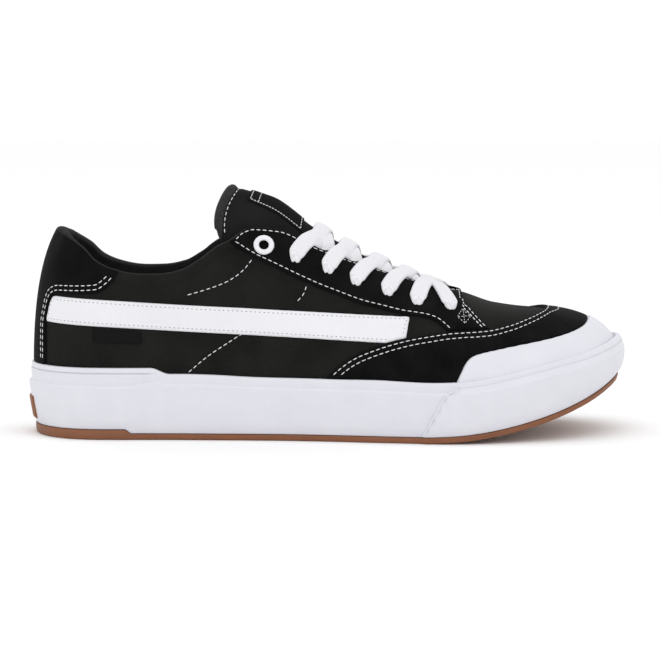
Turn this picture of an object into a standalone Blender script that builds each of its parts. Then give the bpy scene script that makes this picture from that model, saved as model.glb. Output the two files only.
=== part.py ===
"""Right skateboarding shoe: cup sole, lasted upper, overlays, tongue and flat lace.

Metres, +X to the toe, -Y to the outer side of the foot, +Z up. The origin is on
the floor under the middle of the shoe. Inside the functions x runs from the heel.
A place on the shoe is given by two shares: along, of the length, and up, of the
height of the upper over its board.
"""
import math

import bmesh
import bpy
import numpy as np
from mathutils import Vector

NAME = "skate_shoe"

# Driving sizes of the foot form
LENGTH = 0.300
BALL_WIDTH = 0.110
HEEL_WIDTH = 0.078
HEEL_HEIGHT = 0.079
INSTEP_HEIGHT = 0.082
TOE_SPRING = 0.026

# Height of the board that the foot stands on
HEEL_BOARD = 0.022
BALL_BOARD = 0.015
TOE_BOARD = 0.011

# Thicknesses
GAP = 0.0003
WALL = 0.0024
OVERLAY = 0.0012
CAP = 0.0018
BAND = 0.0008
PATCH = 0.0008
INSOLE = 0.0040
HEEL_TREAD = 0.0050
FORE_TREAD = 0.0030
TONGUE_PAD = 0.0065
LACE_WIDTH = 0.0074
LACE_THICK = 0.0013

# Side of the cup
UPPER_INSET = 0.0038
TAPE_SET = 0.0014
TAPE_HEIGHT = 0.0055
BUMPER_OUT = 0.0012
CUP_LEAN = 0.0034
CUP_BELLY = 0.45
TREAD_CHAMFER = 0.0012

# Holes
LACE_HOLE_RADIUS = 0.0020
RING_HOLE_RADIUS = 0.0024
RING_RADIUS = 0.0051
RING_THICK = 0.0009

SOLE_RUN = LENGTH - BUMPER_OUT
HEEL_PIVOT = 0.15
TOE_PIVOT = 0.84
WELD = 0.00002

# Outline of the sole: shares of the length and of the width there
OUTLINE_COLUMNS = ("along", "axis", "outer", "inner")
OUTLINE = (
    (0.00, 0.000, 0.000, 0.000),
    (0.03, 0.000, 0.321, 0.321),
    (0.06, 0.000, 0.423, 0.418),
    (0.10, 0.000, 0.485, 0.478),
    (0.14, 0.000, 0.500, 0.491),
    (0.20, 0.000, 0.500, 0.487),
    (0.35, -0.024, 0.453, 0.400),
    (0.45, -0.027, 0.426, 0.372),
    (0.55, -0.019, 0.441, 0.417),
    (0.65, -0.007, 0.472, 0.466),
    (0.73, 0.005, 0.493, 0.493),
    (0.80, 0.018, 0.468, 0.482),
    (0.88, 0.036, 0.409, 0.427),
    (0.94, 0.050, 0.323, 0.336),
    (0.98, 0.060, 0.186, 0.195),
    (1.00, 0.064, 0.000, 0.000),
)

# Top line of the upper: collar, throat, then the crown line to the toe.
# "at" is the section of the sole that it belongs to, "round" its fullness.
EDGE_COLUMNS = ("at", "along", "out", "up", "round")
EDGE = (
    (0.000, 0.052, 0.000, 1.000, 2.7),
    (0.030, 0.067, 0.179, 0.975, 2.7),
    (0.060, 0.097, 0.282, 0.905, 2.6),
    (0.100, 0.120, 0.333, 0.823, 2.5),
    (0.140, 0.147, 0.372, 0.778, 2.4),
    (0.190, 0.190, 0.404, 0.744, 2.3),
    (0.227, 0.227, 0.415, 0.738, 2.2),
    (0.260, 0.260, 0.410, 0.756, 2.2),
    (0.293, 0.293, 0.383, 0.819, 2.1),
    (0.320, 0.320, 0.339, 0.892, 2.0),
    (0.343, 0.343, 0.290, 0.935, 2.0),
    (0.360, 0.360, 0.239, 0.984, 2.0),
    (0.380, 0.380, 0.212, 1.007, 2.0),
    (0.417, 0.417, 0.190, 1.003, 2.0),
    (0.477, 0.477, 0.155, 0.916, 2.0),
    (0.530, 0.530, 0.134, 0.852, 2.0),
    (0.580, 0.580, 0.116, 0.801, 2.0),
    (0.627, 0.627, 0.102, 0.754, 2.0),
    (0.677, 0.677, 0.089, 0.705, 2.1),
    (0.710, 0.710, 0.068, 0.669, 2.1),
    (0.730, 0.723, 0.000, 0.658, 2.1),
    (0.800, 0.773, 0.000, 0.570, 2.2),
    (0.880, 0.813, 0.000, 0.518, 2.3),
    (1.000, 0.833, 0.000, 0.494, 2.3),
)

# Top of the cup, and how far up the wall its lower, thicker part goes
RIM_COLUMNS = ("along", "up")
RIM = (
    (0.000, 0.175),
    (0.187, 0.174),
    (0.230, 0.135),
    (0.350, 0.134),
    (0.500, 0.164),
    (0.600, 0.186),
    (0.700, 0.180),
    (0.740, 0.176),
    (0.800, 0.180),
    (0.865, 0.188),
    (0.940, 0.172),
    (1.000, 0.140),
)

# Tongue: place of the section, crown height, half width, fullness,
# swell between the eyestays and backward lean
TONGUE_COLUMNS = ("along", "up", "out", "round", "puff", "lean")
TONGUE = (
    (0.755, 0.560, 0.200, 2.1, 0.000, 0.00),
    (0.710, 0.628, 0.230, 2.0, 0.010, 0.00),
    (0.640, 0.720, 0.245, 2.0, 0.043, 0.00),
    (0.560, 0.820, 0.262, 2.0, 0.062, 0.00),
    (0.480, 0.950, 0.272, 2.0, 0.074, 0.05),
    (0.420, 1.090, 0.270, 2.0, 0.080, 0.15),
    (0.385, 1.145, 0.265, 2.0, 0.066, 0.25),
    (0.360, 1.190, 0.262, 2.1, 0.040, 0.36),
    (0.347, 1.250, 0.258, 2.3, 0.000, 0.42),
)

# Outlines seen from the side
COUNTER_FRONT = (
    (0.145, 0.790), (0.145, 0.762), (0.133, 0.695), (0.112, 0.634), (0.089, 0.624),
    (0.059, 0.622), (0.048, 0.598), (0.042, 0.533), (0.037, 0.419), (0.037, 0.184),
)
TOE_OVERLAY_EDGE = (
    (0.496, 0.150), (0.499, 0.173), (0.532, 0.287), (0.559, 0.344), (0.613, 0.417),
    (0.657, 0.451), (0.702, 0.464), (0.759, 0.449), (0.794, 0.447), (0.828, 0.457),
    (0.862, 0.469), (0.875, 0.475), (0.880, 0.520),
)
CAP_EDGE = (
    (0.705, 0.120), (0.709, 0.174), (0.716, 0.227), (0.724, 0.279), (0.738, 0.317),
    (0.787, 0.327), (0.871, 0.319), (0.921, 0.319), (0.938, 0.343), (0.944, 0.400),
)
EYESTAY_LOWER = (
    (0.341, 0.930), (0.379, 0.856), (0.412, 0.809), (0.447, 0.757), (0.481, 0.711),
    (0.511, 0.677), (0.555, 0.630), (0.589, 0.606), (0.624, 0.581), (0.657, 0.565),
    (0.674, 0.546), (0.688, 0.508), (0.695, 0.475),
)
EYESTAY_FRONT = ((0.764, 0.470), (0.743, 0.555), (0.723, 0.644))
BAND_CORNERS = ((0.020, 0.615), (0.020, 0.450), (0.626, 0.399), (0.634, 0.553))
TAB_CORNERS = ((0.116, 0.410), (0.116, 0.330), (0.196, 0.318), (0.196, 0.397))

# Lace holes from the front, and the bare ring behind them
LACE_HOLES = (
    (0.699, 0.610), (0.647, 0.652), (0.599, 0.701),
    (0.547, 0.754), (0.501, 0.814), (0.448, 0.868),
)
RING_HOLE = (0.394, 0.926)

# Number of parts that the grids have
SECTIONS = 31
END_CROWDING = 0.054
UPPER_ROWS = 7
OVERLAY_ROWS = 7

OUTER, INNER = -1, 1


def smooth_step(start, end, value):
    """Go from 0 at start to 1 at end with level ends."""
    share = min(1.0, max(0.0, (value - start) / (end - start)))
    return share * share * (3 - 2 * share)


def width_at(along):
    """Reference width, from the heel's to the ball's."""
    return HEEL_WIDTH + (BALL_WIDTH - HEEL_WIDTH) * smooth_step(0.2, 0.7, along)


def height_at(along):
    """Reference height of the upper, from the heel's to the instep's."""
    return HEEL_HEIGHT + (INSTEP_HEIGHT - HEEL_HEIGHT) * smooth_step(0.15, 0.35, along)


def spring_at(along):
    """Height of the underside over the floor: level, then rising to the toe."""
    return TOE_SPRING * max(0.0, (along - 0.64) / 0.36) ** 2.2


def board_at(along):
    """Height of the top of the cup's floor."""
    drop = (HEEL_BOARD - BALL_BOARD) * smooth_step(0.25, 0.67, along)
    toe_drop = (BALL_BOARD - TOE_BOARD) * smooth_step(0.78, 1.0, along)
    return spring_at(along) + HEEL_BOARD - drop - toe_drop


def tread_at(along):
    """Thickness of the gum tread, with its step behind the arch."""
    return HEEL_TREAD + (FORE_TREAD - HEEL_TREAD) * smooth_step(0.168, 0.180, along)


def column(rows, names, name):
    """One named column of a table."""
    place = names.index(name)
    return np.array([row[place] for row in rows])


def slopes(knots, values):
    """Slopes of a curve that never overshoots its points."""
    steps = np.diff(knots)
    rises = np.diff(values) / steps
    found = np.zeros(len(knots))
    found[0], found[-1] = rises[0], rises[-1]
    for place in range(1, len(knots) - 1):
        before, after = rises[place - 1], rises[place]
        if before * after > 0:
            low = steps[place - 1] + 2 * steps[place]
            high = 2 * steps[place - 1] + steps[place]
            found[place] = (low + high) / (low / after + high / before)
    return found


def curve_value(knots, values, tangents, place):
    """Value of the curve through the points at a place."""
    last = len(knots) - 2
    span = min(last, max(0, int(np.searchsorted(knots, place)) - 1))
    width = knots[span + 1] - knots[span]
    share = (place - knots[span]) / width
    rest = 1 - share
    return (
        values[span] * (1 + 2 * share) * rest ** 2
        + values[span + 1] * share ** 2 * (3 - 2 * share)
        + width * share * rest * (tangents[span] * rest - tangents[span + 1] * share)
    )


class Track:
    """A smooth value along the shoe through the rows of a table."""

    def __init__(self, knots, values):
        self.knots = np.array(knots, float)
        self.values = np.array(values, float)
        if self.knots[0] > self.knots[-1]:
            self.knots = self.knots[::-1]
            self.values = self.values[::-1]
        self.tangents = slopes(self.knots, self.values)

    def __call__(self, place):
        return float(curve_value(self.knots, self.values, self.tangents, place))


class Ring:
    """A closed smooth curve through points, one knot a point."""

    def __init__(self, points):
        self.points = np.array(points, float)
        ahead = np.roll(self.points, -1, axis=0)
        self.steps = np.linalg.norm(ahead - self.points, axis=1)
        self.knots = np.concatenate(([0.0], np.cumsum(self.steps)))
        self.tangents = self.solve()

    def solve(self):
        """Tangents that keep the bend of the curve unbroken at each point."""
        count = len(self.points)
        matrix = np.zeros((count, count))
        right = np.zeros_like(self.points)
        for place in range(count):
            before, after = self.steps[place - 1], self.steps[place]
            rise_before = (self.points[place] - self.points[place - 1]) / before
            rise_after = (self.points[(place + 1) % count] - self.points[place]) / after
            matrix[place, place - 1] = after
            matrix[place, place] = 2 * (before + after)
            matrix[place, (place + 1) % count] = before
            right[place] = 3 * (after * rise_before + before * rise_after)
        return np.linalg.solve(matrix, right)

    def __call__(self, place):
        count = len(self.points)
        place = place % self.knots[-1]
        span = min(count - 1, int(np.searchsorted(self.knots, place, side="right")) - 1)
        share = (place - self.knots[span]) / self.steps[span]
        rest = 1 - share
        follow = (span + 1) % count
        swing = self.tangents[span] * rest - self.tangents[follow] * share
        return (
            self.points[span] * (1 + 2 * share) * rest ** 2
            + self.points[follow] * share ** 2 * (3 - 2 * share)
            + self.steps[span] * share * rest * swing
        )


axis_share = Track(
    column(OUTLINE, OUTLINE_COLUMNS, "along"), column(OUTLINE, OUTLINE_COLUMNS, "axis")
)
rim_share = Track(column(RIM, RIM_COLUMNS, "along"), column(RIM, RIM_COLUMNS, "up"))


def axis_at(along):
    """Sideways place of the shoe's middle line."""
    return axis_share(along) * width_at(along)


def outline_points():
    """Points of the sole's outline, out along the outer side and back."""
    sides = {OUTER: [], INNER: []}
    for along, _axis, outer, inner in OUTLINE:
        for side, share in ((OUTER, outer), (INNER, inner)):
            sideways = axis_at(along) + side * share * width_at(along)
            sides[side].append((along * SOLE_RUN, sideways))
    return sides[OUTER] + sides[INNER][-2:0:-1]


outline_ring = Ring(outline_points())
OUTLINE_TOE = outline_ring.knots[len(OUTLINE) - 1]
OUTLINE_END = outline_ring.knots[-1]


inner_places = np.linspace(OUTLINE_END, OUTLINE_TOE, 1601)
inner_run = np.array([outline_ring(place)[0] for place in inner_places])
END_TURN = 0.10


def ring_place(side, turn):
    """Knot on the outline for a turn of 0 at the heel to 1 at the toe.

    Away from the ends both sides have the same run at the same turn.
    """
    outer_place = turn * OUTLINE_TOE
    if side == OUTER:
        return outer_place
    level = float(np.interp(outline_ring(outer_place)[0], inner_run, inner_places))
    even = OUTLINE_END - turn * (OUTLINE_END - OUTLINE_TOE)
    share = smooth_step(0, END_TURN, turn) * smooth_step(0, END_TURN, 1 - turn)
    return even + (level - even) * share


def outline_at(side, turn, out=0.0):
    """Point of the outline, moved outward in the floor's plane."""
    place = ring_place(side, turn)
    step = 0.0004
    here = outline_ring(place)
    run = outline_ring(place + step) - outline_ring(place - step)
    normal = np.array((run[1], -run[0])) / np.linalg.norm(run)
    return here + normal * out


turn_samples = np.linspace(0, 1, 241)
outer_run = np.array([outline_at(OUTER, turn)[0] for turn in turn_samples])


def turn_of(along):
    """Turn of the section at a share of the length."""
    return float(np.interp(along * SOLE_RUN, outer_run, turn_samples))


def mirrored_track(name, odd=False):
    """Track of a column of the top line, carried round heel and toe."""
    turns = np.array([turn_of(row[0]) for row in EDGE])
    values = column(EDGE, EDGE_COLUMNS, name)
    sign = -1 if odd else 1
    knots = np.concatenate((-turns[3:0:-1], turns, 2 - turns[-2:-5:-1]))
    whole = np.concatenate((sign * values[3:0:-1], values, values[-2:-5:-1]))
    return Track(knots, whole)


edge_along = mirrored_track("along")
edge_out = mirrored_track("out", odd=True)
edge_up = mirrored_track("up")
edge_round = mirrored_track("round")


def rim_height(along):
    """Height of the top of the cup."""
    return board_at(along) + rim_share(along) * height_at(along)


def on_crown(turn):
    """Whether the section's two sides meet on the crown line, ahead of the throat."""
    return turn > 0.5 and edge_out(turn) < 0.0001


def upper_point(side, turn, rise):
    """Point of the upper's outer face: rise 0 at the board, 1 at its top line."""
    foot = outline_at(side, turn, -UPPER_INSET)
    along_foot = foot[0] / SOLE_RUN
    foot_height = board_at(along_foot) + GAP
    along = edge_along(turn)
    sideways = axis_at(along) + side * edge_out(turn) * width_at(along)
    edge = np.array((along * LENGTH, sideways))
    edge_height = board_at(along) + edge_up(turn) * height_at(along)
    middle_along = min(TOE_PIVOT, max(HEEL_PIVOT, along_foot))
    middle = np.array((middle_along * LENGTH, axis_at(middle_along)))
    full = edge_round(turn)
    reach = np.linalg.norm(edge - middle) / np.linalg.norm(foot - middle)
    if on_crown(turn):
        reach = 0.0
    reach = min(0.97, reach)
    top = (1 - reach ** full) ** (1 / full)
    swing = rise * math.asin(min(1.0, top ** (full / 2)))
    lift = math.sin(swing) ** (2 / full)
    draw = (1 - math.cos(swing) ** (2 / full)) / (1 - reach)
    flat = foot + (edge - foot) * draw
    height = foot_height + (edge_height - foot_height) * lift / top
    return np.array((flat[0], flat[1], height))


def upper_normal(side, turn, rise):
    """Outward direction of the upper at a point."""
    step = 0.004
    low, high = max(0.0, rise - step), min(1.0, rise + step)
    up = upper_point(side, turn, high) - upper_point(side, turn, low)
    if rise > 1 - step and on_crown(turn) and turn < 1 - step:
        up = upper_point(-side, turn, 1 - step) - upper_point(side, turn, 1 - step)
    back, ahead = turn - step, turn + step
    if back < 0:
        run = upper_point(side, step, rise) - upper_point(-side, step, rise)
    elif ahead > 1:
        run = upper_point(-side, 1 - step, rise) - upper_point(side, 1 - step, rise)
    else:
        run = upper_point(side, ahead, rise) - upper_point(side, back, rise)
    normal = np.cross(run, up) * -side
    return normal / np.linalg.norm(normal)


def on_upper(side, turn, rise, out=0.0):
    """Point at a distance outside the upper."""
    return upper_point(side, turn, rise) + upper_normal(side, turn, rise) * out


def side_place(along, up):
    """Run and height of a point given by its two shares."""
    return along * LENGTH, board_at(along) + up * height_at(along)


def rise_for(side, turn, height):
    """Rise at which a section of the upper reaches a height."""
    low, high = 0.0, 1.0
    for _step in range(24):
        middle = (low + high) / 2
        if upper_point(side, turn, middle)[2] < height:
            low = middle
        else:
            high = middle
    return (low + high) / 2


def upper_at(side, along, up, out=0.0):
    """Point outside the upper at the two shares."""
    turn = turn_of(along * LENGTH / SOLE_RUN)
    return on_upper(side, turn, rise_for(side, turn, side_place(along, up)[1]), out)


# Where the middle of the shoe lies in these functions
wide_points = [outline_at(side, turn) for side in (OUTER, INNER) for turn in turn_samples]
MIDDLE = Vector((LENGTH / 2, (min(p[1] for p in wide_points) + max(p[1] for p in wide_points)) / 2, 0))


def placed(point):
    """Point in the shoe's own frame."""
    return Vector([float(value) for value in point]) - MIDDLE


def start_scene():
    """Clear the scene and make the two collections."""
    for thing in list(bpy.data.objects):
        bpy.data.objects.remove(thing, do_unlink=True)
    shoe = bpy.data.collections.new(NAME)
    tools = bpy.data.collections.new("cutters")
    tools.hide_render = True
    bpy.context.scene.collection.children.link(shoe)
    bpy.context.scene.collection.children.link(tools)
    return shoe, tools


def material(name, colour, roughness):
    """Plain material of one part."""
    made = bpy.data.materials.new(name)
    made.use_nodes = True
    shader = made.node_tree.nodes["Principled BSDF"]
    shader.inputs["Base Color"].default_value = (*colour, 1.0)
    shader.inputs["Roughness"].default_value = roughness
    shader.inputs["Metallic"].default_value = 0.0
    return made


RUBBER_WHITE = (0.76, 0.76, 0.83)
GUM = (0.26, 0.09, 0.04)
SUEDE = (0.006, 0.006, 0.006)
CANVAS = (0.012, 0.012, 0.011)
LEATHER_WHITE = (0.83, 0.83, 0.87)
LACE_WHITE = (0.85, 0.85, 0.88)
LABEL_GREY = (0.03, 0.03, 0.03)
FOAM_DARK = (0.02, 0.02, 0.02)


def add_object(name, mesh_tool, collection, colour=None, roughness=0.7):
    """Object of a finished bmesh."""
    bmesh.ops.remove_doubles(mesh_tool, verts=mesh_tool.verts, dist=WELD)
    bmesh.ops.dissolve_degenerate(mesh_tool, edges=mesh_tool.edges, dist=WELD)
    bmesh.ops.recalc_face_normals(mesh_tool, faces=mesh_tool.faces)
    mesh = bpy.data.meshes.new(name)
    mesh_tool.to_mesh(mesh)
    mesh_tool.free()
    mesh.shade_smooth()
    mesh.set_sharp_from_angle(angle=math.radians(35))
    made = bpy.data.objects.new(name, mesh)
    collection.objects.link(made)
    if colour is None:
        made.hide_render = True
        made.display_type = "WIRE"
    else:
        mesh.materials.append(material(name, colour, roughness))
    return made


def mapped_grid(across, along, place):
    """Grid sheet whose points are moved to place(u, v), with u and v from 0 to 1."""
    tool = bmesh.new()
    bmesh.ops.create_grid(tool, x_segments=across, y_segments=along, size=0.5)
    for vertex in tool.verts:
        vertex.co = placed(place(vertex.co.x + 0.5, vertex.co.y + 0.5))
    return tool


def stations(count):
    """Turns along a side, closer together round heel and toe."""
    shares = np.linspace(0, 1, count + 1)
    return shares - END_CROWDING * np.sin(2 * math.pi * shares)


TURNS = stations(SECTIONS)


def lofted_section(count, corners):
    """Closed loft along the shoe; corners(side, turn) runs from the middle out and down."""
    points = len(corners(OUTER, 0.5))
    total = 2 * points

    def place(u, v):
        turn = TURNS[round(u * count)]
        step = round(v * total) % total
        if step < points:
            return corners(OUTER, turn)[step]
        return corners(INNER, turn)[total - 1 - step]

    return mapped_grid(count, total, place)


def ridge_height(along):
    """Height of the ridge round the cup, lower behind the heel."""
    heel_drop = 0.004 * (1 - smooth_step(0.17, 0.25, along))
    return rim_height(along) - TAPE_HEIGHT - heel_drop


def cup_bottom(along):
    """Height of the underside of the cup, just over the tread."""
    return spring_at(along) + tread_at(along) + GAP


def bumper_out(along, height):
    """How far the toe bumper stands out at a point of the wall."""
    seam = 0.650 + 0.055 * (height - spring_at(along)) / 0.030
    return BUMPER_OUT * smooth_step(seam - 0.004, seam + 0.004, along)


def corner_points(side, turn, levels):
    """Points at distances outside the outline, each with its height function."""
    corners = []
    for out, height_at_place in levels:
        flat = outline_at(side, turn, out)
        corners.append((flat[0], flat[1], height_at_place(flat[0] / SOLE_RUN)))
    return corners


def cup_corners(side, turn):
    """Corners of the cup from its floor, over the rim and down to the tread."""
    along = outline_at(side, turn)[0] / SOLE_RUN
    share = smooth_step(0.69, 0.73, along)
    inside = -UPPER_INSET + GAP
    tape = -TAPE_SET * (1 - 0.7 * share)
    ridge_out = bumper_out(along, ridge_height(along))
    return corner_points(side, turn, (
        (inside, board_at),
        (inside, rim_height),
        (tape - 0.0004, rim_height),
        (tape, lambda place: rim_height(place) - 0.0006),
        (tape * (1 - 0.4 * share), lambda place: ridge_height(place) + 0.0006 + 0.002 * share),
        (ridge_out, ridge_height),
        (ridge_out - CUP_BELLY * CUP_LEAN, lambda place: (ridge_height(place) + cup_bottom(place)) / 2),
        (bumper_out(along, cup_bottom(along)) - CUP_LEAN, cup_bottom),
    ))


def tread_corners(side, turn):
    """Corners of the gum tread."""
    along = outline_at(side, turn)[0] / SOLE_RUN
    edge = bumper_out(along, cup_bottom(along)) - CUP_LEAN
    return corner_points(side, turn, (
        (edge, lambda place: spring_at(place) + tread_at(place)),
        (edge - 0.0002, lambda place: spring_at(place) + TREAD_CHAMFER),
        (edge - TREAD_CHAMFER, spring_at),
    ))


def insole_corners(side, turn):
    """Corners of the footbed, which rises a little to its rim."""
    edge = -UPPER_INSET - WALL - 3 * GAP
    return corner_points(side, turn, (
        (edge - 0.0100, lambda place: board_at(place) + 0.8 * INSOLE),
        (edge - 0.0030, lambda place: board_at(place) + INSOLE),
        (edge - 0.0002, lambda place: board_at(place) + 0.9 * INSOLE),
        (edge, lambda place: board_at(place) + GAP),
    ))


def upper_sheet(out, rows):
    """Sheet over the whole upper at a distance outside it."""
    count = 2 * SECTIONS

    def place(u, v):
        step = round(u * count)
        side = OUTER if step <= SECTIONS else INNER
        turn = TURNS[step if step <= SECTIONS else count - step]
        return on_upper(side, turn, v, out)

    tool = mapped_grid(count, rows, place)
    bmesh.ops.triangulate(tool, faces=tool.faces, quad_method="FIXED")
    return tool


def add_modifier(target, kind, **values):
    """Add a modifier with its values."""
    made = target.modifiers.new(kind.lower(), kind)
    for name, value in values.items():
        setattr(made, name, value)
    return made


def cut(target, cutter, operation="DIFFERENCE"):
    """Boolean with a cutter object."""
    add_modifier(target, "BOOLEAN", operation=operation, object=cutter, solver="EXACT")


def side_prism(name, outline, collection, low=-0.09, high=0.09):
    """Cutter: an outline seen from the side, carried across the shoe."""
    tool = bmesh.new()
    ring = [tool.verts.new(placed((run, low + MIDDLE.y, height))) for run, height in outline]
    face = tool.faces.new(ring)
    grown = bmesh.ops.extrude_face_region(tool, geom=[face])
    moved = [item for item in grown["geom"] if isinstance(item, bmesh.types.BMVert)]
    bmesh.ops.translate(tool, verts=moved, vec=Vector((0, high - low, 0)))
    return add_object(name, tool, collection)


def shifted(outline, distance):
    """Line of (run, height) moved to the left of its direction."""
    points = [np.array(point) for point in outline]
    moved = []
    for place, point in enumerate(points):
        before = points[max(0, place - 1)]
        after = points[min(len(points) - 1, place + 1)]
        run = (after - before) / np.linalg.norm(after - before)
        moved.append(tuple(point + distance * np.array((-run[1], run[0]))))
    return moved


def shares_line(rows):
    """Rows of shares as (run, height) points."""
    return [side_place(along, up) for along, up in rows]


def rim_line(start, end, lift, count=14):
    """Line just over the top of the cup."""
    line = []
    for along in np.linspace(start, end, count):
        line.append((along * LENGTH, rim_height(min(1.0, along)) + lift))
    return line


def face_outwards(tool, centre):
    """Turn the faces of an open sheet away from a point."""
    tool.normal_update()
    bmesh.ops.recalc_face_normals(tool, faces=tool.faces)
    facing = sum(face.normal.dot(face.calc_center_median() - centre) for face in tool.faces)
    if facing < 0:
        bmesh.ops.reverse_faces(tool, faces=tool.faces)


def sheet_object(name, tool, collection, centre, colour, roughness=0.8):
    """Object of an open sheet that faces away from a point."""
    bmesh.ops.remove_doubles(tool, verts=tool.verts, dist=WELD)
    face_outwards(tool, centre)
    mesh = bpy.data.meshes.new(name)
    tool.to_mesh(mesh)
    tool.free()
    mesh.shade_smooth()
    made = bpy.data.objects.new(name, mesh)
    collection.objects.link(made)
    mesh.materials.append(material(name, colour, roughness))
    return made


UPPER_CENTRE = Vector((0, 0, 0.045))


def thicken(target, thickness, outward=True):
    """Give a sheet its wall."""
    add_modifier(
        target, "SOLIDIFY",
        thickness=thickness,
        offset=1.0 if outward else -1.0,
        use_even_offset=True,
        use_quality_normals=True,
    )


def overlay(name, collection, thickness, colour, keep, leave=()):
    """Panel on the upper: a shell kept inside one cutter and outside the others."""
    made = sheet_object(name, upper_sheet(GAP, OVERLAY_ROWS), collection, UPPER_CENTRE, colour)
    thicken(made, thickness)
    cut(made, keep, "INTERSECT")
    for cutter in leave:
        cut(made, cutter)
    return made


def counter_outline(grow=0.0):
    """Side outline of the heel counter, its front grown by a distance."""
    front = shifted(shares_line(COUNTER_FRONT), grow)
    low = rim_height(0.02) + GAP
    behind, above = -0.012, 0.130
    return [(front[0][0], above)] + front + [(front[-1][0], low), (behind, low), (behind, above)]


def toe_overlay_outline(grow=0.0):
    """Side outline of the suede over the toe, its rear edge grown by a distance."""
    rear = shifted(shares_line(TOE_OVERLAY_EDGE), grow)
    cap = shifted(shares_line(CAP_EDGE), GAP)
    above = 0.085
    lower = rim_line(cap[0][0] / LENGTH, rear[0][0] / LENGTH, GAP)
    rear = [point for point in rear if point[1] > lower[-1][1]]
    cap = [point for point in cap if point[1] > lower[0][1]]
    return rear + [(rear[-1][0], above), (cap[-1][0], above)] + cap[::-1] + lower


def cap_outline():
    """Side outline of the white cap on the toe, down to the bumper."""
    cap = shares_line(CAP_EDGE)
    above, ahead = 0.085, LENGTH + 0.012
    lower = rim_line(1.0, cap[0][0] / LENGTH, GAP)
    cap = [point for point in cap if point[1] > lower[-1][1]]
    return cap + [(cap[-1][0], above), (ahead, above), (ahead, lower[0][1])] + lower


def eyestay_outline(grow=0.0):
    """Side outline of an eyestay, its lower edge grown by a distance."""
    lower = shifted(shares_line(EYESTAY_LOWER), -grow)
    front = shares_line(EYESTAY_FRONT)
    above = 0.140
    return lower + front + [(front[-1][0], above), (lower[0][0], above)]


def hole_cutter(name, tools, side):
    """Round cutters for the lace holes of one side."""
    tool = bmesh.new()
    rows = [(along, up, LACE_HOLE_RADIUS) for along, up in LACE_HOLES]
    rows.append((*RING_HOLE, RING_HOLE_RADIUS))
    for along, up, radius in rows:
        turn = turn_of(along * LENGTH / SOLE_RUN)
        rise = rise_for(side, turn, side_place(along, up)[1])
        normal = Vector(upper_normal(side, turn, rise))
        grown = bmesh.ops.create_cone(
            tool, cap_ends=True, segments=8, radius1=radius, radius2=radius, depth=0.010
        )
        turned = Vector((0, 0, 1)).rotation_difference(normal).to_matrix()
        bmesh.ops.rotate(tool, verts=grown["verts"], matrix=turned)
        centre = placed(upper_point(side, turn, rise))
        bmesh.ops.translate(tool, verts=grown["verts"], vec=centre)
    return add_object(name, tool, tools)


def eyelet_ring(name, shoe, side):
    """Ring round the unused top hole: a turned band laid on the eyestay."""
    tool = bmesh.new()
    low, high = 0.0, RING_THICK
    profile = (
        (RING_HOLE_RADIUS, low), (RING_RADIUS, low),
        (RING_RADIUS - 0.0005, high), (RING_HOLE_RADIUS + 0.0005, high),
    )
    ring = [tool.verts.new((radius, 0, height)) for radius, height in profile]
    edges = [tool.edges.new((ring[place - 1], ring[place])) for place in range(len(ring))]
    bmesh.ops.spin(
        tool, geom=[*ring, *edges], cent=(0, 0, 0), axis=(0, 0, 1),
        angle=2 * math.pi, steps=20, use_merge=True,
    )
    turn = turn_of(RING_HOLE[0] * LENGTH / SOLE_RUN)
    rise = rise_for(side, turn, side_place(*RING_HOLE)[1])
    normal = Vector(upper_normal(side, turn, rise))
    turned = Vector((0, 0, 1)).rotation_difference(normal).to_matrix()
    bmesh.ops.rotate(tool, verts=tool.verts, matrix=turned)
    seat = placed(on_upper(side, turn, rise, OVERLAY + 2 * GAP + 0.0004))
    bmesh.ops.translate(tool, verts=tool.verts, vec=seat)
    return add_object(name, tool, shoe, LEATHER_WHITE, 0.4)


tongue_track = {
    name: Track(column(TONGUE, TONGUE_COLUMNS, "along"), column(TONGUE, TONGUE_COLUMNS, name))
    for name in TONGUE_COLUMNS[1:]
}
foot_samples = {
    side: np.array([outline_at(side, turn, -UPPER_INSET) for turn in turn_samples])
    for side in (OUTER, INNER)
}
TONGUE_FRONT, TONGUE_BACK = TONGUE[0][0], TONGUE[-1][0]
TONGUE_CLEAR = WALL + GAP + 0.0004


def foot_half_width(side, along):
    """Half width of the upper at its board."""
    samples = foot_samples[side]
    sideways = np.interp(along * LENGTH, samples[:, 0], samples[:, 1])
    return abs(sideways - axis_at(along))


def tongue_height(along, out):
    """Height of the tongue's top at a signed distance from the middle line."""
    side = OUTER if out < 0 else INNER
    full = tongue_track["round"](along)
    reach = abs(out) / (foot_half_width(side, along) - TONGUE_CLEAR)
    crown = tongue_track["up"](along) * height_at(along)
    height = crown * (1 - min(1.0, reach) ** full) ** (1 / full)
    opening = edge_out(turn_of(along * LENGTH / SOLE_RUN)) * width_at(along) - 0.0015
    if opening > 0 and abs(out) < opening:
        swell = tongue_track["puff"](along) * height_at(along)
        height += swell * (1 - (out / opening) ** 2) ** 2
    return board_at(along) + height


def tongue_point(along, share):
    """Point of the tongue's top, share -1 to 1 across it."""
    out = share * tongue_track["out"](along) * width_at(along)
    height = tongue_height(along, out)
    drop = tongue_height(along, 0.0) - height
    run = along * LENGTH - tongue_track["lean"](along) * drop
    return np.array((run, axis_at(along) + out, height))


def tongue_on(along, share, lift):
    """Point over the tongue's top."""
    step = 0.004
    run = tongue_point(along + step, share) - tongue_point(along - step, share)
    across = tongue_point(along, share + step) - tongue_point(along, share - step)
    normal = np.cross(run, across)
    return tongue_point(along, share) + normal / np.linalg.norm(normal) * lift


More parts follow.
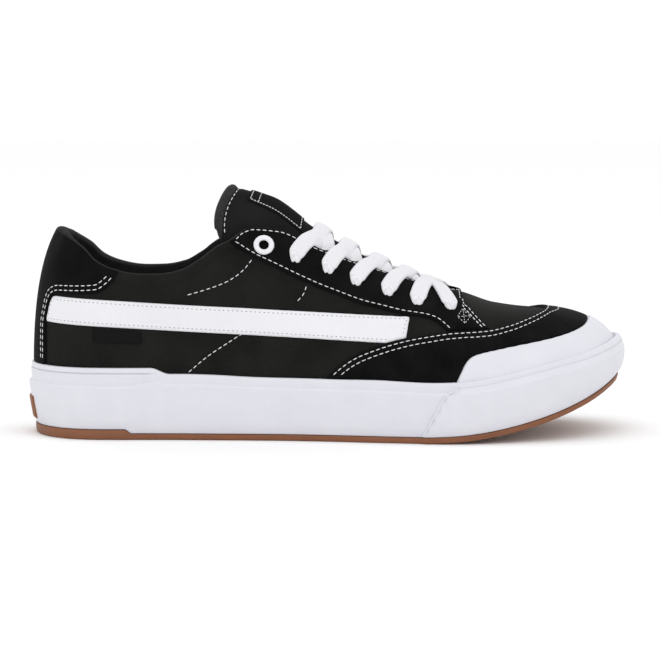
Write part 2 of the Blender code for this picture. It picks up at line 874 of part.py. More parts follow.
def make_tongue(shoe):
    """Padded tongue, from under the vamp to its free end."""
    def place(u, v):
        along = TONGUE_FRONT + (TONGUE_BACK - TONGUE_FRONT) * v
        return tongue_point(along, 2 * u - 1)

    centre = placed((0.5 * LENGTH, 0, 0.020))
    made = sheet_object("tongue", mapped_grid(10, 16, place), shoe, centre, FOAM_DARK, 0.9)
    thicken(made, TONGUE_PAD, outward=False)


LABEL_FRONT, LABEL_BACK, LABEL_SHARE = 0.456, 0.372, 0.48


def make_label(shoe):
    """Bare woven label on the tongue."""
    def place(u, v):
        along = LABEL_FRONT + (LABEL_BACK - LABEL_FRONT) * v
        return tongue_on(along, LABEL_SHARE * (2 * u - 1), GAP)

    centre = placed((0.5 * LENGTH, 0, 0.020))
    made = sheet_object("tongue_label", mapped_grid(8, 6, place), shoe, centre, LABEL_GREY)
    thicken(made, PATCH)


LACE_LIFT = OVERLAY + 5 * GAP
LACE_REST = GAP + 0.0004
LACE_BEND = 0.2
LACE_STEP = 0.003
LACE_LIP = 0.0010
EDGE_ROOM = 0.0035


def upper_height(along, out):
    """Height of the upper over a signed distance from the middle line."""
    turn = turn_of(along * LENGTH / SOLE_RUN)
    full = edge_round(turn)
    half = foot_half_width(OUTER if out < 0 else INNER, along)
    reach = edge_out(turn) * width_at(along) / half
    crown = edge_up(turn) * height_at(along) / (1 - reach ** full) ** (1 / full)
    return board_at(along) + crown * (1 - (abs(out) / half) ** full) ** (1 / full)


def over_eyestay(along, out):
    """Height clear of the eyestay, square to its slope."""
    step = 0.001
    rise = upper_height(along, out + step) - upper_height(along, out - step)
    return upper_height(along, out) + LACE_LIFT * math.hypot(1, rise / (2 * step))


def lace_height(along, out, over):
    """Height of the underside of a lace strand, over or under the edge of the throat."""
    edge = edge_out(turn_of(along * LENGTH / SOLE_RUN)) * width_at(along) - LACE_LIP
    bend = LACE_BEND * edge
    on_tongue = tongue_height(along, out) + LACE_REST
    if not over or abs(out) < bend:
        return on_tongue
    if abs(out) > edge:
        return over_eyestay(along, out)
    share = (abs(out) - bend) / (edge - bend)
    low = tongue_height(along, math.copysign(bend, out)) + LACE_REST
    high = over_eyestay(along, math.copysign(edge, out))
    return max(on_tongue, low + (high - low) * share)


def flat_strand(name, collection, start, end, colour):
    """Straight flat band between two points of (run, sideways)."""
    tool = bmesh.new()
    bmesh.ops.create_grid(tool, x_segments=1, y_segments=1, size=0.5)
    line = Vector((*end, 0)) - Vector((*start, 0))
    across = Vector((-line.y, line.x, 0)).normalized() * LACE_WIDTH
    for vertex in tool.verts:
        share = vertex.co.y + 0.5
        vertex.co = Vector((*start, 0)) + line * share + across * vertex.co.x
    sheet = list(tool.faces)
    grown = bmesh.ops.extrude_face_region(tool, geom=sheet)
    moved = [item for item in grown["geom"] if isinstance(item, bmesh.types.BMVert)]
    bmesh.ops.translate(tool, verts=moved, vec=Vector((0, 0, LACE_THICK)))
    return add_object(name, tool, collection, colour)


def lace_end(side, hole, over):
    """Run and sideways place where a strand ends: its hole, or under the eyestay."""
    along = hole[0]
    if over:
        point = upper_at(side, *hole)
        return point[0], point[1] - axis_at(along)
    edge = edge_out(turn_of(along * LENGTH / SOLE_RUN)) * width_at(along)
    return along * LENGTH, side * (edge - EDGE_ROOM)


def make_laces(shoe, tools):
    """Crossings of the lace, joined flat and then laid over tongue and eyestays."""
    for place in range(len(LACE_HOLES) - 1):
        front, back = LACE_HOLES[place], LACE_HOLES[place + 1]
        from_hole = place == 0
        name = f"lace_cross_{place + 1}"
        ends = [
            (lace_end(side, front, from_hole), lace_end(-side, back, True))
            for side in (OUTER, INNER)
        ]
        made = flat_strand(name, shoe, *ends[0], LACE_WHITE)
        cut(made, flat_strand(f"{name}_other", tools, *ends[1], None), "UNION")
        share = abs(ends[0][0][1]) / (abs(ends[0][0][1]) + abs(ends[0][1][1]))
        crossing = front[0] + (back[0] - front[0]) * share
        lay_over(made, crossing, from_hole)


def lay_over(target, crossing, from_hole):
    """Apply the join and lift each point onto the shoe."""
    graph = bpy.context.evaluated_depsgraph_get()
    mesh = bpy.data.meshes.new_from_object(target.evaluated_get(graph))
    tool = bmesh.new()
    tool.from_mesh(mesh)
    for out in np.arange(-9 * LACE_STEP, 10 * LACE_STEP, LACE_STEP):
        parts = [*tool.verts, *tool.edges, *tool.faces]
        bmesh.ops.bisect_plane(tool, geom=parts, plane_co=(0, out, 0), plane_no=(0, 1, 0))
    bmesh.ops.triangulate(tool, faces=tool.faces)
    for vertex in tool.verts:
        along, out, lift = vertex.co.x / LENGTH, vertex.co.y, vertex.co.z
        over = from_hole or along < crossing
        height = lace_height(along, out, over) + lift
        vertex.co = placed((vertex.co.x, axis_at(along) + out, height))
    tool.to_mesh(mesh)
    tool.free()
    target.modifiers.clear()
    target.data = mesh


def make_heel_patch(shoe):
    """Bare gum patch on the back of the cup."""
    low, high, half_width = 0.0075, 0.0190, 0.0135

    def place(u, v):
        out = (2 * u - 1) * half_width
        side = OUTER if out < 0 else INNER
        turn = abs(out) / OUTLINE_TOE
        height = low + (high - low) * v
        bottom, ridge = cup_bottom(0.0), ridge_height(0.0)
        share = (height - bottom) / (ridge - bottom)
        lean = CUP_LEAN * (1 - 2 * (1 - CUP_BELLY) * share if share < 0.5 else 2 * CUP_BELLY * (1 - share))
        flat = outline_at(side, turn, GAP - lean)
        return np.array((flat[0], flat[1], height))

    centre = placed((0.1 * LENGTH, 0, 0.014))
    made = sheet_object("heel_patch", mapped_grid(10, 4, place), shoe, centre, GUM, 0.6)
    thicken(made, PATCH)


GROOVE_DEPTH = 0.0013
GROOVE_WIDTH = 0.0024
GROOVE_PITCH = 0.0088
GROOVE_MARGIN = 0.0085
REST_SPOTS = (0.040, 0.190)


def make_tread(shoe, tools):
    """Gum tread with bars cut across it, and a plain field at each rest spot."""
    outsole = add_object("outsole", lofted_section(SECTIONS, tread_corners), shoe, GUM, 0.6)
    tool = bmesh.new()
    for run in np.arange(0.014, LENGTH - 0.014, GROOVE_PITCH):
        if any(abs(run - spot) < 0.0075 for spot in REST_SPOTS):
            continue
        along = run / SOLE_RUN
        if 0.155 < along < 0.185:
            continue
        turn = turn_of(along)
        outer = outline_at(OUTER, turn)[1] + GROOVE_MARGIN
        inner = outline_at(INNER, turn)[1] - GROOVE_MARGIN
        slope = (spring_at(along + 0.01) - spring_at(along - 0.01)) / (0.02 * SOLE_RUN)
        box = bmesh.ops.create_cube(tool, size=1.0)
        size = Vector((GROOVE_WIDTH, inner - outer, 2 * GROOVE_DEPTH))
        bmesh.ops.scale(tool, verts=box["verts"], vec=size)
        turned = Vector((1, 0, 0)).rotation_difference(Vector((1, 0, slope))).to_matrix()
        bmesh.ops.rotate(tool, verts=box["verts"], matrix=turned)
        centre = placed((run, (inner + outer) / 2, spring_at(along)))
        bmesh.ops.translate(tool, verts=box["verts"], vec=centre)
    cut(outsole, add_object("tread_grooves", tool, tools))


def make_overlays(shoe, tools, holes):
    """Panels laid on the upper, each cut from a shell round it."""
    half = 0.09
    counter = side_prism("counter_cutter", counter_outline(), tools)
    counter_room = side_prism("counter_room", counter_outline(GAP), tools)
    toe = side_prism("toe_overlay_cutter", toe_overlay_outline(), tools)
    toe_room = side_prism("toe_overlay_room", toe_overlay_outline(GAP), tools)
    cap = side_prism("toe_cap_cutter", cap_outline(), tools)
    overlay("heel_counter", shoe, OVERLAY, SUEDE, counter)
    overlay("toe_overlay", shoe, OVERLAY, SUEDE, toe)
    overlay("toe_cap", shoe, CAP, RUBBER_WHITE, cap)
    eyestay_room = side_prism("eyestay_room", eyestay_outline(GAP), tools)
    for side, word in ((OUTER, "lateral"), (INNER, "medial")):
        low, high = (-half, -GAP) if side == OUTER else (GAP, half)
        eyestay_cutter = side_prism(f"eyestay_cutter_{word}", eyestay_outline(), tools, low, high)
        made = overlay(f"eyestay_{word}", shoe, OVERLAY, SUEDE, eyestay_cutter, [toe_room])
        cut(made, holes[side])
        corners = shares_line(BAND_CORNERS)
        band_cutter = side_prism(f"band_cutter_{word}", corners, tools, low, high)
        rooms = [counter_room, toe_room, eyestay_room]
        overlay(f"side_band_{word}", shoe, BAND, LEATHER_WHITE, band_cutter, rooms)
    tab_cutter = side_prism("tab_cutter", shares_line(TAB_CORNERS), tools, -half, -GAP)
    overlay("side_tab", shoe, PATCH, SUEDE, tab_cutter)


def make_shoe():
    """Build every part of the shoe."""
    shoe, tools = start_scene()
    make_tread(shoe, tools)
    add_object("midsole", lofted_section(SECTIONS, cup_corners), shoe, RUBBER_WHITE, 0.45)
    add_object("insole", lofted_section(SECTIONS, insole_corners), shoe, FOAM_DARK, 0.9)
    make_heel_patch(shoe)
    holes = {
        OUTER: hole_cutter("holes_lateral", tools, OUTER),
        INNER: hole_cutter("holes_medial", tools, INNER),
    }
    upper = sheet_object("upper", upper_sheet(0.0, UPPER_ROWS), shoe, UPPER_CENTRE, CANVAS)
    thicken(upper, WALL, outward=False)
    for cutter in holes.values():
        cut(upper, cutter)
    make_overlays(shoe, tools, holes)
    make_tongue(shoe)
    make_label(shoe)
    for side, word in ((OUTER, "lateral"), (INNER, "medial")):
        eyelet_ring(f"eyelet_{word}", shoe, side)
    make_laces(shoe, tools)


make_shoe()
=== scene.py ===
# %% [markdown]
# # A skateboarding shoe
#
# This lesson dresses a plain frame of a low skateboarding shoe. A real one is
# made round a last, which is a foot-shaped form. Canvas and suede are pulled
# over it and stuck into a rubber cup. Here the last is a function: it gives a
# point of the upper's skin for any place round the shoe and up its wall. Every
# panel, stitch and lace asks that function where it lies, so they all fit.
#
# A real shoe is sewn flat and then stretched. Working from one shared skin is
# the modelling counterpart, and it is what keeps thin layers from cutting
# through one another.

# %%
import math

import bmesh
import bpy
import numpy as np
from mathutils import Matrix, Vector


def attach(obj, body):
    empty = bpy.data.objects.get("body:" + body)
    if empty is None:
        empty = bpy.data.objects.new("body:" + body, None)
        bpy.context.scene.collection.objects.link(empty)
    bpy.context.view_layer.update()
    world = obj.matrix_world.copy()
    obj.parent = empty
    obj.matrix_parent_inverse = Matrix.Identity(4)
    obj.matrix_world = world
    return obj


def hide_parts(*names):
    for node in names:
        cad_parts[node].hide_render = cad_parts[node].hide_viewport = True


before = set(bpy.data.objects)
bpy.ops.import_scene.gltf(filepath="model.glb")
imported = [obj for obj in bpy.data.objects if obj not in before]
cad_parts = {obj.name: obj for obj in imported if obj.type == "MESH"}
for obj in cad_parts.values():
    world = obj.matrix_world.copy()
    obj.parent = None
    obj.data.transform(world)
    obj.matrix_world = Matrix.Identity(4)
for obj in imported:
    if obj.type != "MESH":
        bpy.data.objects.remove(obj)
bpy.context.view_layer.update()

# %% [markdown]
# ## Sizes
#
# The frame was modelled from sizes like these, so the skin repeats them. A few
# rows are nearer to the photograph than the frame's are: the step in the cup's
# rim, the front edge of the heel counter, the foot of the eyestay and the free
# end of the tongue. All lengths are in metres.

# %%
LENGTH = 0.300
BALL_WIDTH = 0.110
HEEL_WIDTH = 0.078
HEEL_HEIGHT = 0.079
INSTEP_HEIGHT = 0.082
TOE_SPRING = 0.026
HEEL_BOARD = 0.022
BALL_BOARD = 0.015
TOE_BOARD = 0.011
GAP = 0.0003
WALL = 0.0024
OVERLAY = 0.0012
CAP = 0.0018
BAND = 0.0008
INSOLE = 0.0040
HEEL_TREAD = 0.0050
FORE_TREAD = 0.0030
TONGUE_PAD = 0.0065
UPPER_INSET = 0.0038
TAPE_SET = 0.0014
TAPE_HEIGHT = 0.0055
BUMPER_OUT = 0.0012
CUP_LEAN = 0.0034
CUP_BELLY = 0.45
TREAD_CHAMFER = 0.0012
LACE_HOLE_RADIUS = 0.0020
RING_HOLE_RADIUS = 0.0024
RING_RADIUS = 0.0051
SOLE_RUN = LENGTH - BUMPER_OUT
HEEL_PIVOT = 0.15
TOE_PIVOT = 0.84
END_TURN = 0.10
OUTER, INNER = -1, 1
print("length", LENGTH, "ball width", BALL_WIDTH, "heel height", HEEL_HEIGHT)

# %% [markdown]
# ## Rows of shares
#
# The outline of the sole is the mark that a last leaves on the floor. Each row
# holds the middle line and a half width for each side, because a foot curves
# inward. They are shares of the length and of the width there, so a wider shoe
# keeps its form. Smooth curves run through the rows later.

# %%
OUTLINE_COLUMNS = ("along", "axis", "outer", "inner")
OUTLINE = (
    (0.00, 0.000, 0.000, 0.000),
    (0.03, 0.000, 0.321, 0.321),
    (0.06, 0.000, 0.423, 0.418),
    (0.10, 0.000, 0.485, 0.478),
    (0.14, 0.000, 0.500, 0.491),
    (0.20, 0.000, 0.500, 0.487),
    (0.35, -0.024, 0.453, 0.400),
    (0.45, -0.027, 0.426, 0.372),
    (0.55, -0.019, 0.441, 0.417),
    (0.65, -0.007, 0.472, 0.466),
    (0.73, 0.005, 0.493, 0.493),
    (0.80, 0.018, 0.468, 0.482),
    (0.88, 0.036, 0.409, 0.427),
    (0.94, 0.050, 0.323, 0.336),
    (0.98, 0.060, 0.186, 0.195),
    (1.00, 0.064, 0.000, 0.000),
)
print("rows of the outline:", len(OUTLINE))

# %% [markdown]
# The top line of the upper runs round the collar, down the throat and on as the
# crown line to the toe. "at" is the section of the sole that a row belongs to,
# and "round" is how full the wall is there: 2 is an ellipse, more is squarer.

# %%
EDGE_COLUMNS = ("at", "along", "out", "up", "round")
EDGE = (
    (0.000, 0.052, 0.000, 1.000, 2.7),
    (0.030, 0.067, 0.179, 0.975, 2.7),
    (0.060, 0.097, 0.282, 0.905, 2.6),
    (0.100, 0.120, 0.333, 0.823, 2.5),
    (0.140, 0.147, 0.372, 0.778, 2.4),
    (0.190, 0.190, 0.404, 0.744, 2.3),
    (0.227, 0.227, 0.415, 0.738, 2.2),
    (0.260, 0.260, 0.410, 0.756, 2.2),
    (0.293, 0.293, 0.383, 0.819, 2.1),
    (0.320, 0.320, 0.339, 0.892, 2.0),
    (0.343, 0.343, 0.290, 0.935, 2.0),
    (0.360, 0.360, 0.239, 0.984, 2.0),
    (0.380, 0.380, 0.212, 1.007, 2.0),
    (0.417, 0.417, 0.190, 1.003, 2.0),
    (0.477, 0.477, 0.155, 0.916, 2.0),
    (0.530, 0.530, 0.134, 0.852, 2.0),
    (0.580, 0.580, 0.116, 0.801, 2.0),
    (0.627, 0.627, 0.102, 0.754, 2.0),
    (0.677, 0.677, 0.089, 0.705, 2.1),
    (0.710, 0.710, 0.068, 0.669, 2.1),
    (0.730, 0.723, 0.000, 0.658, 2.1),
    (0.800, 0.773, 0.000, 0.570, 2.2),
    (0.880, 0.813, 0.000, 0.518, 2.3),
    (1.000, 0.833, 0.000, 0.494, 2.3),
)
print("rows of the top line:", len(EDGE))

# %% [markdown]
# The top of the cup is a share of the upper's height, and steps down in front of
# the heel. The tongue has a crown height, a half width and a fullness for each
# section, a swell between the eyestays ("puff"), and a backward lean.

# %%
RIM_COLUMNS = ("along", "up")
RIM = (
    (0.000, 0.175),
    (0.211, 0.173),
    (0.243, 0.135),
    (0.350, 0.134),
    (0.500, 0.164),
    (0.600, 0.186),
    (0.700, 0.180),
    (0.740, 0.176),
    (0.800, 0.180),
    (0.865, 0.188),
    (0.940, 0.172),
    (1.000, 0.140),
)

TONGUE_COLUMNS = ("along", "up", "out", "round", "puff", "lean")
TONGUE = (
    (0.755, 0.560, 0.200, 2.1, 0.000, 0.00),
    (0.710, 0.628, 0.230, 2.0, 0.010, 0.00),
    (0.640, 0.720, 0.245, 2.0, 0.043, 0.00),
    (0.560, 0.820, 0.262, 2.0, 0.062, 0.00),
    (0.480, 0.950, 0.272, 2.0, 0.074, 0.05),
    (0.420, 1.090, 0.270, 2.0, 0.080, 0.15),
    (0.385, 1.145, 0.265, 2.0, 0.066, 0.25),
    (0.360, 1.190, 0.262, 2.1, 0.040, 0.36),
    (0.347, 1.250, 0.258, 2.3, 0.000, 0.42),
    (0.3385, 1.268, 0.252, 2.3, 0.000, 0.42),
)
print("rows of the rim and the tongue:", len(RIM), len(TONGUE))

# %% [markdown]
# The cut lines of the panels are drawn from the side, as on a designer's sheet.
# A point is a share of the length and a share of the upper's height over the
# floor of the cup.

# %%
COUNTER_FRONT = (
    (0.160, 0.790), (0.158, 0.755), (0.146, 0.690), (0.122, 0.632), (0.092, 0.624),
    (0.059, 0.622), (0.048, 0.598), (0.042, 0.533), (0.037, 0.419), (0.037, 0.184),
)
TOE_OVERLAY_EDGE = (
    (0.496, 0.150), (0.499, 0.173), (0.532, 0.287), (0.559, 0.344), (0.613, 0.417),
    (0.657, 0.451), (0.702, 0.464), (0.759, 0.449), (0.794, 0.447), (0.828, 0.457),
    (0.862, 0.469), (0.875, 0.475), (0.880, 0.520),
)
CAP_EDGE = (
    (0.705, 0.120), (0.709, 0.174), (0.716, 0.227), (0.724, 0.279), (0.738, 0.317),
    (0.787, 0.327), (0.871, 0.319), (0.921, 0.319), (0.938, 0.343), (0.944, 0.400),
)
EYESTAY_LOWER = (
    (0.341, 0.930), (0.379, 0.856), (0.412, 0.809), (0.447, 0.757), (0.481, 0.711),
    (0.511, 0.677), (0.555, 0.630), (0.589, 0.606), (0.624, 0.581), (0.657, 0.565),
    (0.674, 0.546), (0.688, 0.508), (0.702, 0.455), (0.714, 0.400),
)
EYESTAY_FRONT = ((0.783, 0.395), (0.764, 0.470), (0.743, 0.555), (0.723, 0.644))
BAND_CORNERS = ((0.020, 0.615), (0.020, 0.450), (0.626, 0.399), (0.634, 0.553))
TAB_CORNERS = ((0.116, 0.410), (0.116, 0.330), (0.196, 0.318), (0.196, 0.397))

# Lace holes from the front, and the bare ring behind them
LACE_HOLES = (
    (0.699, 0.610), (0.647, 0.652), (0.599, 0.701),
    (0.547, 0.754), (0.501, 0.814), (0.448, 0.868),
)
RING_HOLE = (0.394, 0.926)
print("lace holes on each side:", len(LACE_HOLES), "and one with a ring")

# %% [markdown]
# ## Smooth curves through the rows
#
# A last has no kinks, so the rows need a curve between them. `Track` never
# swings past its points, which suits heights and widths. `Ring` bends evenly
# all the way round, which suits the closed outline of a sole. Both take whole
# arrays at once, because the skin below has tens of thousands of points.

# %%
def smooth_step(start, end, value):
    """Go from 0 at start to 1 at end with level ends."""
    share = np.clip((value - start) / (end - start), 0.0, 1.0)
    return share * share * (3 - 2 * share)


def column(rows, names, name):
    """One named column of a table."""
    place = names.index(name)
    return np.array([row[place] for row in rows])


def slopes(knots, values):
    """Slopes of a curve that never overshoots its points."""
    steps = np.diff(knots)
    rises = np.diff(values) / steps
    found = np.zeros(len(knots))
    found[0], found[-1] = rises[0], rises[-1]
    for place in range(1, len(knots) - 1):
        before, after = rises[place - 1], rises[place]
        if before * after > 0:
            low = steps[place - 1] + 2 * steps[place]
            high = 2 * steps[place - 1] + steps[place]
            found[place] = (low + high) / (low / after + high / before)
    return found


class Track:
    """A smooth value along the shoe through the rows of a table."""

    def __init__(self, knots, values):
        self.knots = np.array(knots, float)
        self.values = np.array(values, float)
        if self.knots[0] > self.knots[-1]:
            self.knots = self.knots[::-1]
            self.values = self.values[::-1]
        self.tangents = slopes(self.knots, self.values)

    def __call__(self, place):
        place = np.asarray(place, float)
        span = np.clip(np.searchsorted(self.knots, place) - 1, 0, len(self.knots) - 2)
        width = self.knots[span + 1] - self.knots[span]
        share = (place - self.knots[span]) / width
        rest = 1 - share
        swing = self.tangents[span] * rest - self.tangents[span + 1] * share
        return (
            self.values[span] * (1 + 2 * share) * rest ** 2
            + self.values[span + 1] * share ** 2 * (3 - 2 * share)
            + width * share * rest * swing
        )


class Ring:
    """A closed smooth curve through points, one knot a point."""

    def __init__(self, points):
        self.points = np.array(points, float)
        ahead = np.roll(self.points, -1, axis=0)
        self.steps = np.linalg.norm(ahead - self.points, axis=1)
        self.knots = np.concatenate(([0.0], np.cumsum(self.steps)))
        self.tangents = self.solve()

    def solve(self):
        """Tangents that keep the bend of the curve unbroken at each point."""
        count = len(self.points)
        matrix = np.zeros((count, count))
        right = np.zeros_like(self.points)
        for place in range(count):
            before, after = self.steps[place - 1], self.steps[place]
            rise_before = (self.points[place] - self.points[place - 1]) / before
            rise_after = (self.points[(place + 1) % count] - self.points[place]) / after
            matrix[place, place - 1] = after
            matrix[place, place] = 2 * (before + after)
            matrix[place, (place + 1) % count] = before
            right[place] = 3 * (after * rise_before + before * rise_after)
        return np.linalg.solve(matrix, right)

    def __call__(self, place):
        count = len(self.points)
        place = np.mod(place, self.knots[-1])
        span = np.clip(np.searchsorted(self.knots, place, side="right") - 1, 0, count - 1)
        step = self.steps[span][..., None]
        share = (place - self.knots[span])[..., None] / step
        rest = 1 - share
        follow = (span + 1) % count
        swing = self.tangents[span] * rest - self.tangents[follow] * share
        return (
            self.points[span] * (1 + 2 * share) * rest ** 2
            + self.points[follow] * share ** 2 * (3 - 2 * share)
            + step * share * rest * swing
        )


# %% [markdown]
# A last is widest at the ball and tallest at the instep, so both reference sizes
# change along the shoe. The sole is level from the heel to the ball and then
# rises to the toe, which is called toe spring. These few functions say so once,
# and every piece asks them.

# %%
def width_at(along):
    """Reference width, from the heel's to the ball's."""
    return HEEL_WIDTH + (BALL_WIDTH - HEEL_WIDTH) * smooth_step(0.2, 0.7, along)


def height_at(along):
    """Reference height of the upper, from the heel's to the instep's."""
    return HEEL_HEIGHT + (INSTEP_HEIGHT - HEEL_HEIGHT) * smooth_step(0.15, 0.35, along)


def spring_at(along):
    """Height of the underside over the floor: level, then rising to the toe."""
    return TOE_SPRING * np.maximum(0.0, (along - 0.64) / 0.36) ** 2.2


def board_at(along):
    """Height of the top of the cup's floor."""
    drop = (HEEL_BOARD - BALL_BOARD) * smooth_step(0.25, 0.67, along)
    toe_drop = (BALL_BOARD - TOE_BOARD) * smooth_step(0.78, 1.0, along)
    return spring_at(along) + HEEL_BOARD - drop - toe_drop


def tread_at(along):
    """Thickness of the gum tread, with its step behind the arch."""
    return HEEL_TREAD + (FORE_TREAD - HEEL_TREAD) * smooth_step(0.168, 0.180, along)


axis_share = Track(
    column(OUTLINE, OUTLINE_COLUMNS, "along"), column(OUTLINE, OUTLINE_COLUMNS, "axis")
)
rim_share = Track(column(RIM, RIM_COLUMNS, "along"), column(RIM, RIM_COLUMNS, "up"))
print("board at heel, ball and toe:", [round(float(board_at(place)), 4) for place in (0.1, 0.7, 1.0)])


def axis_at(along):
    """Sideways place of the shoe's middle line."""
    return axis_share(along) * width_at(along)


def rim_height(along):
    """Height of the top of the cup."""
    return board_at(along) + rim_share(along) * height_at(along)


# %% [markdown]
# The outline is closed, so a place on it is a lap from 0 at the heel, over 1 at
# the toe, to 2 at the heel again. The two sides are not the same length. The inner
# side is slid along so that both sides of a section stand at the same share of
# the length, away from the round ends.

# %%
def outline_points():
    """Points of the sole's outline, out along the outer side and back."""
    sides = {OUTER: [], INNER: []}
    for along, _axis, outer, inner in OUTLINE:
        for side, share in ((OUTER, outer), (INNER, inner)):
            sideways = axis_at(along) + side * share * width_at(along)
            sides[side].append((along * SOLE_RUN, float(sideways)))
    return sides[OUTER] + sides[INNER][-2:0:-1]


outline_ring = Ring(outline_points())
OUTLINE_TOE = outline_ring.knots[len(OUTLINE) - 1]
OUTLINE_END = outline_ring.knots[-1]
inner_places = np.linspace(OUTLINE_END, OUTLINE_TOE, 1601)
inner_run = outline_ring(inner_places)[:, 0]


def turn_and_side(lap):
    """Turn 0 at the heel to 1 at the toe, and the side, for a lap of 0 to 2."""
    lap = np.mod(lap, 2.0)
    return np.where(lap <= 1, lap, 2 - lap), np.where(lap <= 1, OUTER, INNER)


def outline_at(lap, out=0.0):
    """Point of the sole's outline, moved outward in the floor's plane."""
    turn, side = turn_and_side(lap)
    outer = turn * OUTLINE_TOE
    level = np.interp(outline_ring(outer)[..., 0], inner_run, inner_places)
    even = OUTLINE_END - turn * (OUTLINE_END - OUTLINE_TOE)
    share = smooth_step(0, END_TURN, turn) * smooth_step(0, END_TURN, 1 - turn)
    place = np.where(side == OUTER, outer, even + (level - even) * share)
    step = 0.0004
    run = outline_ring(place + step) - outline_ring(place - step)
    normal = np.stack((run[..., 1], -run[..., 0]), -1)
    normal /= np.linalg.norm(normal, axis=-1, keepdims=True)
    return outline_ring(place) + normal * np.asarray(out)[..., None]


turn_samples = np.linspace(0, 1, 401)
outer_run = outline_at(turn_samples)[:, 0]


def turn_of(along):
    """Turn of the section at a share of the length."""
    return np.interp(np.asarray(along) * SOLE_RUN, outer_run, turn_samples)


def mirrored_track(name, odd=False):
    """Track of a column of the top line, carried round heel and toe."""
    turns = turn_of(column(EDGE, EDGE_COLUMNS, "at"))
    values = column(EDGE, EDGE_COLUMNS, name)
    sign = -1 if odd else 1
    knots = np.concatenate((-turns[3:0:-1], turns, 2 - turns[-2:-5:-1]))
    whole = np.concatenate((sign * values[3:0:-1], values, values[-2:-5:-1]))
    return Track(knots, whole)


edge_along = mirrored_track("along")
edge_out = mirrored_track("out", odd=True)
edge_up = mirrored_track("up")
edge_round = mirrored_track("round")
lap_samples = np.linspace(0, 2, 801)
sideways_samples = outline_at(lap_samples)[:, 1]
MIDDLE = np.array(
    (LENGTH / 2, (sideways_samples.min() + sideways_samples.max()) / 2, 0.0)
)
print("outline from", sideways_samples.min(), "to", sideways_samples.max())

# %% [markdown]
# ## The skin of the upper
#
# The upper is stretched between two closed lines: its foot in the cup, and its
# top line round collar and throat. Between them the wall swells like a last. A
# rounded arc whose fullness changes along the shoe gives that swell. The skin
# is worked out once as a table of points and outward directions. `skin` then
# reads any place from it, at any height over the surface.

# %%
LAPS, RISES = 720, 76


def upper_grid(laps, rises):
    """Points of the upper's outer face on a grid of laps and rises."""
    turn, side = turn_and_side(laps)
    foot = outline_at(laps, -UPPER_INSET)
    along_foot = foot[:, 0] / SOLE_RUN
    foot_height = board_at(along_foot) + GAP
    along = edge_along(turn)
    sideways = axis_at(along) + side * edge_out(turn) * width_at(along)
    edge = np.stack((along * LENGTH, sideways), -1)
    edge_height = board_at(along) + edge_up(turn) * height_at(along)
    middle_along = np.clip(along_foot, HEEL_PIVOT, TOE_PIVOT)
    middle = np.stack((middle_along * LENGTH, axis_at(middle_along)), -1)
    full = edge_round(turn)
    reach = np.linalg.norm(edge - middle, axis=1) / np.linalg.norm(foot - middle, axis=1)
    crown = (turn > 0.5) & (edge_out(turn) < 0.0001)
    reach = np.minimum(0.97, np.where(crown, 0.0, reach))
    top = (1 - reach ** full) ** (1 / full)
    swing = np.arcsin(np.minimum(1.0, top ** (full / 2)))[:, None] * rises[None]
    lift = np.sin(swing) ** (2 / full)[:, None] / top[:, None]
    draw = (1 - np.cos(swing) ** (2 / full)[:, None]) / (1 - reach)[:, None]
    flat = foot[:, None] + (edge - foot)[:, None] * draw[..., None]
    height = foot_height[:, None] + (edge_height - foot_height)[:, None] * lift
    return np.concatenate((flat, height[..., None]), -1)


def grid_normals(points):
    """Outward directions of a grid that goes once round the shoe."""
    around = np.empty_like(points)
    around[1:-1] = points[2:] - points[:-2]
    around[0] = around[-1] = points[1] - points[-2]
    normal = np.cross(around, np.gradient(points, axis=1))
    return normal / np.linalg.norm(normal, axis=-1, keepdims=True)


def table_value(table, lap, rise):
    """Value of a table between its samples."""
    across = np.mod(lap, 2.0) / 2 * LAPS
    upward = np.clip(rise, 0.0, 1.0) * RISES
    column_at = np.minimum(np.floor(across).astype(int), LAPS - 1)
    row_at = np.minimum(np.floor(upward).astype(int), RISES - 1)
    right, up = across - column_at, upward - row_at
    if table.ndim == 3:
        right, up = right[..., None], up[..., None]
    low = table[column_at, row_at] * (1 - right) + table[column_at + 1, row_at] * right
    high = table[column_at, row_at + 1] * (1 - right)
    high = high + table[column_at + 1, row_at + 1] * right
    return low * (1 - up) + high * up


lap_table = np.linspace(0, 2, LAPS + 1)
rise_table = np.linspace(0, 1, RISES + 1)
skin_points = upper_grid(lap_table, rise_table)
skin_normals = grid_normals(skin_points)


def skin(lap, rise, out=0.0):
    """Point at a distance outside the upper."""
    lap, rise = np.asarray(lap, float), np.asarray(rise, float)
    normal = table_value(skin_normals, lap, rise)
    normal = normal / np.linalg.norm(normal, axis=-1, keepdims=True)
    return table_value(skin_points, lap, rise) + normal * np.asarray(out)[..., None]


print("skin table:", skin_points.shape, "highest point", skin_points[..., 2].max())

# %% [markdown]
# ## Materials
#
# A shoe mixes matte and glossy things that are all nearly black or nearly
# white, so the finish tells them apart more than the colour does. Suede has a
# nap that catches light at its edges. Canvas has a weave, rubber a fine
# moulded grain. Shared effects are small node groups that only give values.
# Each material then feeds them to its own shader.

# %%
def group_of(name, inputs, outputs):
    """Empty node group with named value sockets."""
    group = bpy.data.node_groups.new(name, "ShaderNodeTree")
    for label, kind, value in inputs:
        socket = group.interface.new_socket(label, in_out="INPUT", socket_type=kind)
        if value is not None:
            socket.default_value = value
    for label, kind in outputs:
        group.interface.new_socket(label, in_out="OUTPUT", socket_type=kind)
    return group, group.nodes.new("NodeGroupInput"), group.nodes.new("NodeGroupOutput")


